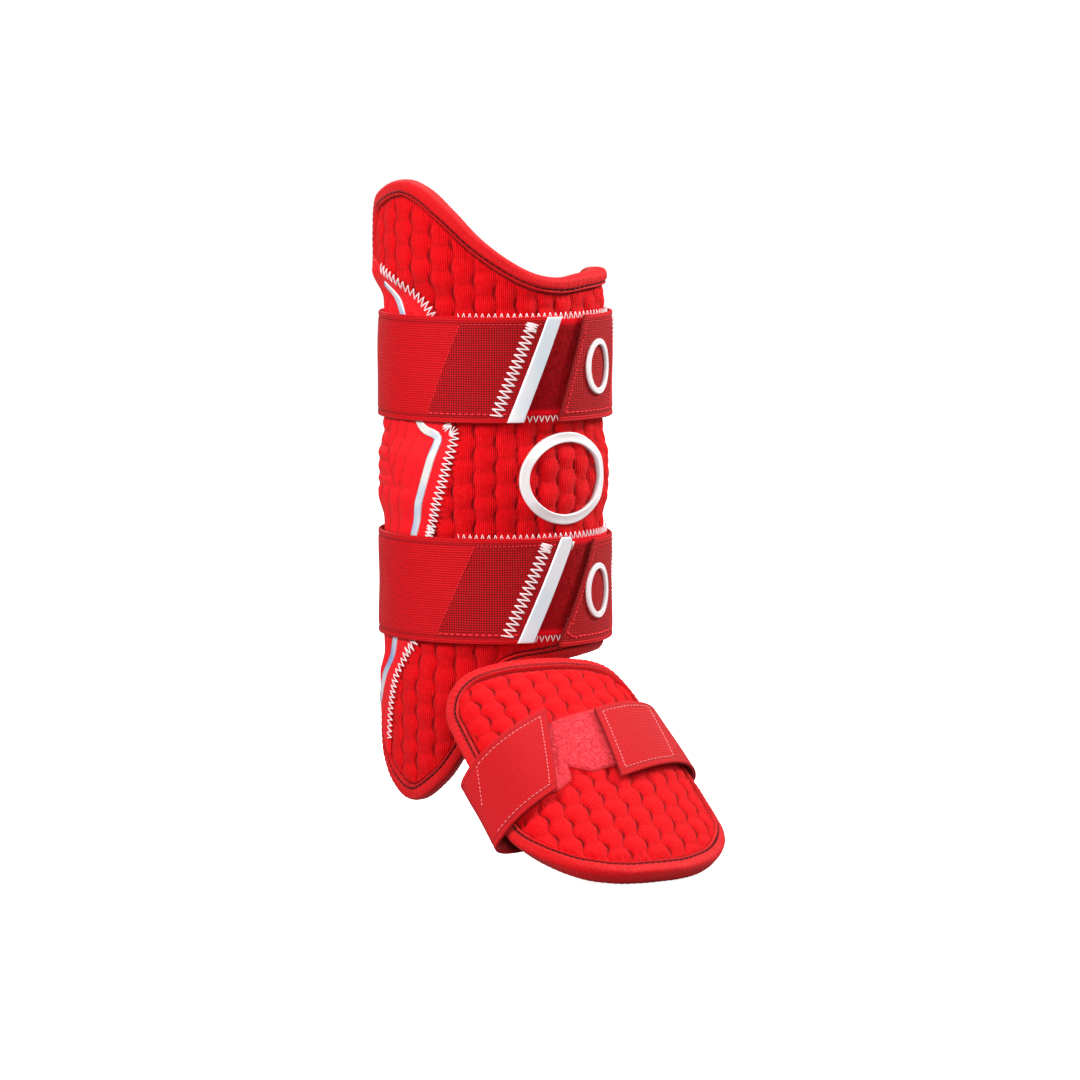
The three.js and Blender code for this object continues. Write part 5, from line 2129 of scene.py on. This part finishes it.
    def pile(self) -> None:
        """Loose loops of pile over the part of the patch that shows between the two ends."""
        draw = np.random.default_rng(40 + self.side)
        turn = draw.uniform(-32.0, 30.0, self.fibres)
        reach = self.patch_width / 2 - 4.6
        height = draw.uniform(-reach, reach, self.fibres) + self.patch_shift
        starts = np.stack([SHIN.arc(turn), self.side * SHIN.strap_spacing / 2 + height], 1)
        shape = self.fibre.pile(SHIN.place, starts, LAYERS.loop[1] - 0.05, (0.6, 1.3), draw)
        add_piece(f"{self.name}_patch_fibres", shape, FUZZ_DARK, "loop")

    def patch_zigzag(self) -> None:
        """White zigzag over the patch's lower and upper edge where it shows beside the strap's ends."""
        level = self.side * SHIN.strap_spacing / 2 + self.patch_shift
        arcs = SHIN.arc(np.linspace(-self.patch_turn + 1, self.patch_turn - 1, 60))
        runs = []
        for edge in (-1, 1):
            height = np.full(60, level + edge * (self.patch_width / 2 + 0.4))
            runs.append(self.patch_stitch.zigzag(SHIN.place, np.stack([arcs, height], 1), 1.25))
        add_piece(f"{self.name}_patch_zigzag", Shape.joined(runs), WHITE_THREAD, "rubber")

    def label_zigzag(self) -> None:
        """Thick white zigzag beside the end label, with close stitches at its upper end."""
        inset = 3.5 / SHIN.strap_width
        line = self.spot(False, self.label_width + 6.9, np.linspace(0.5 - inset, -0.5 + inset, 40))
        lift = LAYERS.strap[1]
        main = self.label_stitch.zigzag(SHIN.place, line, lift + 0.1)
        close = self.close_stitch.zigzag(SHIN.place, line[:4], lift + 0.3)
        add_piece(f"{self.name}_label_zigzag", Shape.joined([main, close]), WHITE_THREAD, "rubber")

    def seam_dashes(self) -> None:
        """Straight stitches round each sewn hook pad: thick along the lower edge, thin along the rest."""
        bottom = -0.5 + (self.fold + 1.5) / SHIN.strap_width
        top = 0.5 - (self.fold + 0.6) / SHIN.strap_width
        over = np.linspace(bottom, top, 30)
        thick, thin = [], []
        frames = (False, self.label_width + 1.5, self.sewn_length), (True, 3.2, self.hook_length)
        for tab, near, far in frames:
            run = np.linspace(near, far, 30)
            thick.append(self.spot(tab, run, bottom))
            thin += [self.spot(tab, run, top), self.spot(tab, far, over)]
            thin += [self.spot(tab, near, over)] if tab else []
        lift = LAYERS.strap[1]
        runs = [self.thick_stitch.dashes(SHIN.place, line, lift - 0.25) for line in thick]
        runs += [self.thin_stitch.dashes(SHIN.place, line, lift - 0.1) for line in thin]
        add_piece(f"{self.name}_strap_stitches", Shape.joined(runs), RED_THREAD, "elastic")

    def ring(self) -> None:
        """The plain oval ring on the short tab."""
        centre = self.flat(np.array(self.ring_turn), np.array(0.0))
        shape = ring_shape(centre, self.ring_size, self.ring_stroke, LAYERS.tab_ring, self.ring_bevel)
        add_piece(f"{self.name}_tab_ring", shape, RUBBER, "rubber", [f"{self.name}_tab_emblem"])

    def build(self) -> None:
        """Makes every piece of the strap."""
        self.patch()
        self.pile()
        self.patch_zigzag()
        self.band()
        hook = (self.hook_inset, LAYERS.hook, HOOK, "hook")
        self.end_sheet(("hook_pad_long", "hook_long"), False, 2.0, self.hook_length / 2, *hook)
        self.end_sheet(("hook_pad_short", "hook_short"), True, 2.0, self.hook_length, *hook)
        label = (-0.1, self.label_width, 0.3, LAYERS.label, SILVER, "silver", self.label_corner)
        self.end_sheet(("end_strip", "end_label"), False, *label)
        self.label_zigzag()
        self.seam_dashes()
        self.ring()


@dataclass(frozen=True)
class StrapEnd:
    """One end of the foot strap, with its place and its slants in shares of the foot guard's sizes."""

    sign: int
    across: float
    along: float
    lean: float
    slope: float
    framed: float

    def middle(self, width: Array) -> Array:
        """Distance of the strap's middle from the guard's rear edge at a width."""
        return self.along * FOOT.length + self.slope * (width - self.across * FOOT.half_width)

    def widened(self) -> float:
        """How much wider the sloping strap is when it is measured along the guard."""
        return float(np.hypot(1, self.slope))


@dataclass
class FootGuard:
    """The padded guard over the foot: pad, binding, loop patch, strap with its hook pads, and the link."""

    rows: int = 168
    columns: int = 128
    quilting: Quilting = Quilting(column=11.6, cell=13.2, swing=1.15, shift=5.8)
    strap_width: float = 48.0
    strap_wrap: float = 2.0
    strap_bow: float = 24.0
    strap_pitch: float = 1.3
    fold: float = 3.0
    fold_width: float = 0.45
    fold_depth: float = 0.35
    wave: float = 0.35
    wave_pitch: float = 70.0
    corner: float = 0.8
    patch_corner: float = 1.2
    hook_reach: float = 20.0
    frame_start: float = 4.5
    frame_inset: float = 4.2
    frame_stitch: Stitch = Stitch(Thread(0.27, 0.36, 5, 5), 1.7, 2.6)
    fibres: int = 4600
    fibre: Thread = Thread(0.095, 0.55, 3, 4)
    left: StrapEnd = StrapEnd(-1, -0.36, 0.455, 0.37, -0.37, 45.0)
    right: StrapEnd = StrapEnd(1, 0.092, 0.462, 0.16, -0.305, 40.0)
    link_lift: float = -11.7
    link_size: tuple[float, float] = (45.0, 60.0)
    outline: Outline = field(default_factory=foot_outline)

    def cut(self, end: StrapEnd, part: Array) -> Array:
        """Width at which an end of the strap is cut."""
        return end.across * FOOT.half_width - end.lean * part * self.strap_width

    def spot(self, end: StrapEnd, width: Array, part: Array) -> Array:
        """Flat place on an end of the strap at a width and a part of the strap's own width."""
        width, part = np.broadcast_arrays(np.asarray(width, float), np.asarray(part, float))
        return np.stack([width, -end.middle(width) - part * self.strap_width * end.widened()], -1)

    def held(self, x: Array, y: Array) -> Array:
        """1 under the strap's ends and the loop patch, where the quilting lies flat.

        Args:
            x: Width.
            y: Minus the distance from the rear edge.

        Returns:
            The share at each place.
        """
        length, share = -y, x / FOOT.half_width
        near, far = self.patch_sides(x)
        patch = rise(length - near, -2, 1) * (1 - rise(length - far, -1, 2))
        out = patch * rise(share, -0.62, -0.6) * (1 - rise(share, 0.48, 0.5))
        for end in (self.left, self.right):
            part = (length - end.middle(x)) / (self.strap_width * end.widened())
            beyond = (x - self.cut(end, np.clip(part, -0.5, 0.5))) * end.sign
            out = np.maximum(out, rise(beyond, -3, 2) * (1 - rise(np.abs(part), 0.47, 0.55)))
        return out

    @staticmethod
    def patch_sides(x: Array) -> tuple[Array, Array]:
        """Distance from the rear edge to the patch's near and far side at a width.

        Args:
            x: Widths.

        Returns:
            The two distances at each width.
        """
        at = FOOT_PATCH[:, 0] * FOOT.half_width
        near, far = (np.interp(x, at, FOOT_PATCH[:, side] * FOOT.length) for side in (1, 2))
        return near, far

    def pad(self) -> None:
        """The quilted pad with its plain lining."""
        maker = PadMaker(FOOT.place, self.outline, self.rows, self.columns)
        shape, lining = maker.build(self.quilting, self.held)
        piece = add_piece("foot_pad_quilted", shape, QUILT, "quilt", ["foot_pad"], LINING, lining)

    def binding(self) -> None:
        """The rolled binding and its stitches."""
        maker = BindingMaker(FOOT.place, self.outline)
        add_piece("foot_binding_roll", maker.build(), BINDING, "binding", ["foot_binding"])
        add_piece("foot_binding_stitches", maker.stitches(), DARK_THREAD, "binding")

    def patch(self) -> None:
        """The fuzzy loop patch across the instep."""
        width = np.linspace(FOOT_PATCH[0, 0] + 0.005, FOOT_PATCH[-1, 0], 76)[:, None] * FOOT.half_width
        near, far = self.patch_sides(width)
        share = (graded(44.0, 1.0, self.patch_corner) / 44.0)[None]
        length = mix(near, far, share)
        x = np.broadcast_to(width, length.shape)
        edge = np.minimum(share, 1 - share) * (far - near)
        fuzz = 0.2 * ripple(x, length, 3.3, 2.0) + 0.16 * ripple(x, length, 2.0, 5.0)
        thick, relief = rounding(edge, self.patch_corner), fuzz * rise(edge, 0, 2)
        shape = layer_shape(FOOT.place, np.stack([x, -length], -1), LAYERS.loop, thick, relief)
        add_piece("foot_loop_patch_pile", shape, FUZZ, "loop", ["foot_loop_patch"])

    def pile(self) -> None:
        """Loose loops of pile over the part of the patch that shows between the strap's ends."""
        draw = np.random.default_rng(7)
        width = draw.uniform(-0.4, 0.42, self.fibres) * FOOT.half_width
        near, far = self.patch_sides(width)
        depth = mix(near + 0.3, far - 0.3, draw.uniform(0, 1, self.fibres))
        starts = np.stack([width, -depth], 1)
        shape = self.fibre.pile(FOOT.place, starts, LAYERS.loop[1] - 0.1, (0.7, 1.5), draw)
        add_piece("foot_patch_fibres", shape, FUZZ, "loop")

    def strand(self, part: Array, lift: float) -> Array:
        """Points along every strand of the strap: over the guard, under the foot in a bow, and back up.

        Args:
            part: Parts of the strap's width, from -0.5 at the ankle to 0.5 at the toes.
            lift: Lift above the guard's face.

        Returns:
            Strands by points by 3.
        """
        sides = []
        for end in (self.left, self.right):
            outer = end.sign * (FOOT.half_width + self.strap_wrap)
            width = mix(self.cut(end, part)[:, None], outer, np.linspace(0, 1, 60)[None])
            sides.append(laid(FOOT.place, self.spot(end, width, part[:, None]), lift))
        leave, arrive = (3 * self.strap_bow * unit(side[:, -1:] - side[:, -2:-1]) for side in sides)
        share = np.linspace(0, 1, 90)[None, 1:-1, None]
        bow = cubic(sides[0][:, -1:], sides[1][:, -1:], leave, -arrive, share)
        return np.concatenate([sides[0], bow, sides[1][:, ::-1]], 1)

    def strap(self) -> None:
        """The strap's band as one closed sheet, thick to both sides of its middle surface."""
        part = graded(self.strap_width, self.strap_pitch, self.corner) / self.strap_width - 0.5
        middle = self.strand(part, sum(LAYERS.strap) / 2 + 0.05)
        steps = np.linalg.norm(np.diff(middle, axis=1), axis=2).mean(0)
        along = np.concatenate([[0], np.cumsum(steps)])
        even = graded(float(along[-1]), self.strap_pitch, self.corner)
        index = np.interp(even, along, np.arange(len(along)))
        base = np.clip(index.astype(int), 0, len(along) - 2)
        middle = mix(middle[:, base], middle[:, base + 1], (index - base)[None, :, None])
        normal = unit(np.cross(np.gradient(middle, axis=1), np.gradient(middle, axis=0)))
        x, y = np.meshgrid(part * self.strap_width, even, indexing="ij")
        edge = self.strap_width / 2 - np.abs(x)
        ends = np.minimum(y, even[-1] - y)
        half = (LAYERS.strap[1] - LAYERS.strap[0]) / 2 * rounding(np.minimum(edge, ends), self.corner)
        line = bell(edge - self.fold, self.fold_width)
        waves = self.wave * ripple(x, y, self.wave_pitch, 9.0) * rise(ends, 3, 30)
        # painted shade in the fold lines inside the edges, and a darker tone along the cut ends
        masks = {"painted_shade_and_edge": np.maximum(0.8 * line, 1.1 * (1 - rise(ends, 0.3, 0.9)))}
        flat, high = np.stack([y, x], -1), half - self.fold_depth * line + waves
        shape = sheet_shape(along_normals(middle, normal), flat, waves - half, high, masks)
        piece = add_piece("foot_strap_band", shape, STRAP_RIBBED, "elastic", ["foot_strap"])

    def hook(self, end: StrapEnd, name: str) -> None:
        """The hook pad under an end of the strap.

        Args:
            end: The end.
            name: Its side, left or right.
        """
        part = (graded(1.0, 0.03, 0.01) - 0.5) * (1 - 4.0 / self.strap_width)
        inward = 2.0 + graded(self.hook_reach, 1.2, 0.35)
        width = self.cut(end, part)[:, None] + end.sign * inward[None]
        flat = self.spot(end, width, part[:, None])
        shape = layer_shape(FOOT.place, flat, LAYERS.hook, np.ones(width.shape))
        add_piece(f"foot_hook_pad_{name}", shape, HOOK, "hook", [f"foot_hook_{name}"])

    def strap_dashes(self) -> None:
        """Pale stitches in a frame round each end of the strap."""
        inset = self.frame_inset / self.strap_width
        low, high = inset - 0.5, 0.5 - inset
        over = np.linspace(low, high, 30)
        runs = []
        for end in (self.left, self.right):
            run = np.linspace(self.frame_start, end.framed, 30)
            for inward, part in ((self.frame_start, over), (end.framed, over), (run, low), (run, high)):
                width, part = np.broadcast_arrays(self.cut(end, part) + end.sign * inward, part)
                shown = np.abs(width) < FOOT.half_width
                line = self.spot(end, width[shown], part[shown])
                runs.append(self.frame_stitch.dashes(FOOT.place, line, LAYERS.strap[1]))
        add_piece("foot_strap_stitches", Shape.joined(runs), PINK_THREAD, "elastic")

    def link(self) -> None:
        """The web that joins the guard to the shin part, inside the lower hem.

        It follows smooth curves through five rows of points, three on the shin part and two on the guard.
        """
        share = np.linspace(0, 1, 30)
        arc, width = SHIN.arc(mix(-22.0, 18.0, share)), mix(38.0, -4.0, share)
        lift, hem = np.array(self.link_lift), -0.3 * SHIN.height
        route = [SHIN.place(arc, hem + above, lift) for above in (26.0, 5.0, -5.0)]
        route += [FOOT.place(width, back, lift) for back in (-5.0, -26.0)]
        route = [2 * route[0] - route[1], *route, 2 * route[-1] - route[-2]]
        before, start, end, after = (np.stack(route[k : k + 4], 1)[:, :, None] for k in range(4))
        part = np.linspace(0, 1, 10, endpoint=False)[None, None, :, None]
        middle = cubic(start, end, (end - before) / 2, (after - start) / 2, part).reshape(30, 40, 3)
        normal = unit(np.cross(np.gradient(middle, axis=0), np.gradient(middle, axis=1)))
        x, y = np.meshgrid(share * self.link_size[0], np.linspace(0, self.link_size[1], 40), indexing="ij")
        thick = 0.75 + 0.2 * np.cos(np.pi * y)
        shape = sheet_shape(along_normals(middle, normal), np.stack([x, y], -1), -thick, thick)
        add_piece("foot_link_web", shape, STRAP_RIBBED, "elastic", ["foot_link"])

    def build(self) -> None:
        """Makes every piece of the foot guard."""
        self.pad()
        self.binding()
        self.patch()
        self.pile()
        self.strap()
        self.hook(self.left, "left")
        self.hook(self.right, "right")
        self.strap_dashes()
        self.link()


def outward(azimuth: float, elevation: float) -> Array:
    """Unit vector out from the leg's axis: degrees round from the front, and degrees above level."""
    around, up = np.radians([azimuth, elevation])
    return np.array([np.sin(around) * np.cos(up), -np.cos(around) * np.cos(up), np.sin(up)])


@dataclass(frozen=True)
class Lamp:
    """A soft square light: its direction in degrees, its distance and side in metres, and its watts."""

    name: str
    azimuth: float
    elevation: float
    distance: float
    size: float
    power: float

    def hang(self, level: float) -> None:
        """Puts the lamp into the scene, looking at the leg's axis at a height in metres.

        Args:
            level: The height in metres.
        """
        data = bpy.data.lights.new(self.name, "AREA")
        data.energy, data.size, data.shape = self.power, self.size, "SQUARE"
        lamp = add_object(self.name, data)
        back = Vector(outward(self.azimuth, self.elevation))
        lamp.location = back * self.distance + Vector((0, 0, level))
        lamp.rotation_mode = "QUATERNION"
        lamp.rotation_quaternion = back.to_track_quat("Z", "Y")


@dataclass
class Studio:
    """Camera, lights and floor of the picture."""

    azimuth: float = -40.0
    elevation: float = 6.1
    distance: float = 3017.0
    scale: float = 1.825
    across: float = 24.4
    level: float = -38.4
    frame_pixels: int = 1080
    sensor: float = 36.0
    ambient: float = 0.1
    floor_gap: float = 0.0006
    floor_reach: float = 120.0
    lamps: tuple[Lamp, ...] = (
        Lamp("key", -86, 28, 1.5, 0.45, 23),
        Lamp("rim", 62, 36, 1.5, 0.4, 29),
        Lamp("top", 10, 78, 1.4, 0.5, 8),
        Lamp("front", -32, 18, 2.2, 0.7, 20),
        Lamp("back", 165, 30, 2.2, 0.9, 16),
    )

    def camera(self) -> None:
        """The camera at the photograph's angle, its lens set from pixels per millimetre at the leg's axis."""
        back = outward(self.azimuth, self.elevation)
        right = outward(self.azimuth + 90, 0)
        target = right * self.across + (0, 0, self.level)
        data = bpy.data.cameras.new("camera")
        data.sensor_width = self.sensor
        data.lens = self.sensor * self.scale * self.distance / self.frame_pixels
        data.clip_start, data.clip_end = 0.1, 100.0
        seen = add_object("camera", data)
        turned = Matrix(np.stack([right, np.cross(back, right), back], 1).tolist()).to_4x4()
        seen.matrix_world = Matrix.Translation(Vector((target + back * self.distance) * METRES)) @ turned
        bpy.context.scene.camera = seen

    def world(self) -> None:
        """Surroundings that the camera sees as white, and that light the guard only a little."""
        world = bpy.data.worlds.new("studio")
        world.use_nodes = True
        bench = Bench(world.node_tree)
        backdrop = world.node_tree.nodes["Background"]
        backdrop.inputs["Color"].default_value = WHITE
        seen = bench.node("ShaderNodeLightPath").outputs["Is Camera Ray"]
        bench.feed(backdrop.inputs["Strength"], bench.math("MAXIMUM", seen, self.ambient))
        bpy.context.scene.world = world

    def floor(self) -> None:
        """Pale paper just below the guard, far wider than the view."""
        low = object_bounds()[0].z - self.floor_gap
        edge = np.linspace(-self.floor_reach, self.floor_reach, 9)
        x, y = np.meshgrid(edge, edge, indexing="ij")
        points = np.stack([x, y, np.full(x.shape, low)], -1).reshape(-1, 3) / METRES
        mesh = Shape(points, grid_faces(9, 9)[0]).mesh("floor")
        mesh.materials.append(PAPER.material())
        add_object("floor", mesh)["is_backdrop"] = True

    def build(self) -> None:
        """Sets up the camera, the surroundings, the lights and the floor."""
        self.camera()
        self.world()
        for lamp in self.lamps:
            lamp.hang(self.level * METRES)
        self.floor()
        bpy.context.scene.view_settings.view_transform = "Standard"


def main() -> None:
    """Builds the guard piece by piece, then the studio, and notes the sizes."""
    logging.basicConfig(level=logging.INFO, format="%(message)s")
    ShinPart().build()
    CalfStrap("upper", 1, 5.6, 26.2, -9.3, 7.7, 0.0).build()
    CalfStrap("lower", -1, -2.1, 21.2, -17.1, 7.4, 2.8).build()
    FootGuard().build()
    Studio().build()
    seen_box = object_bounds()
    sizes = {"cad": [list(corner) for corner in cad_box], "visual": [list(corner) for corner in seen_box]}
    log.info("visual box %s", sizes["visual"])


if __name__ == "__main__":
    main()
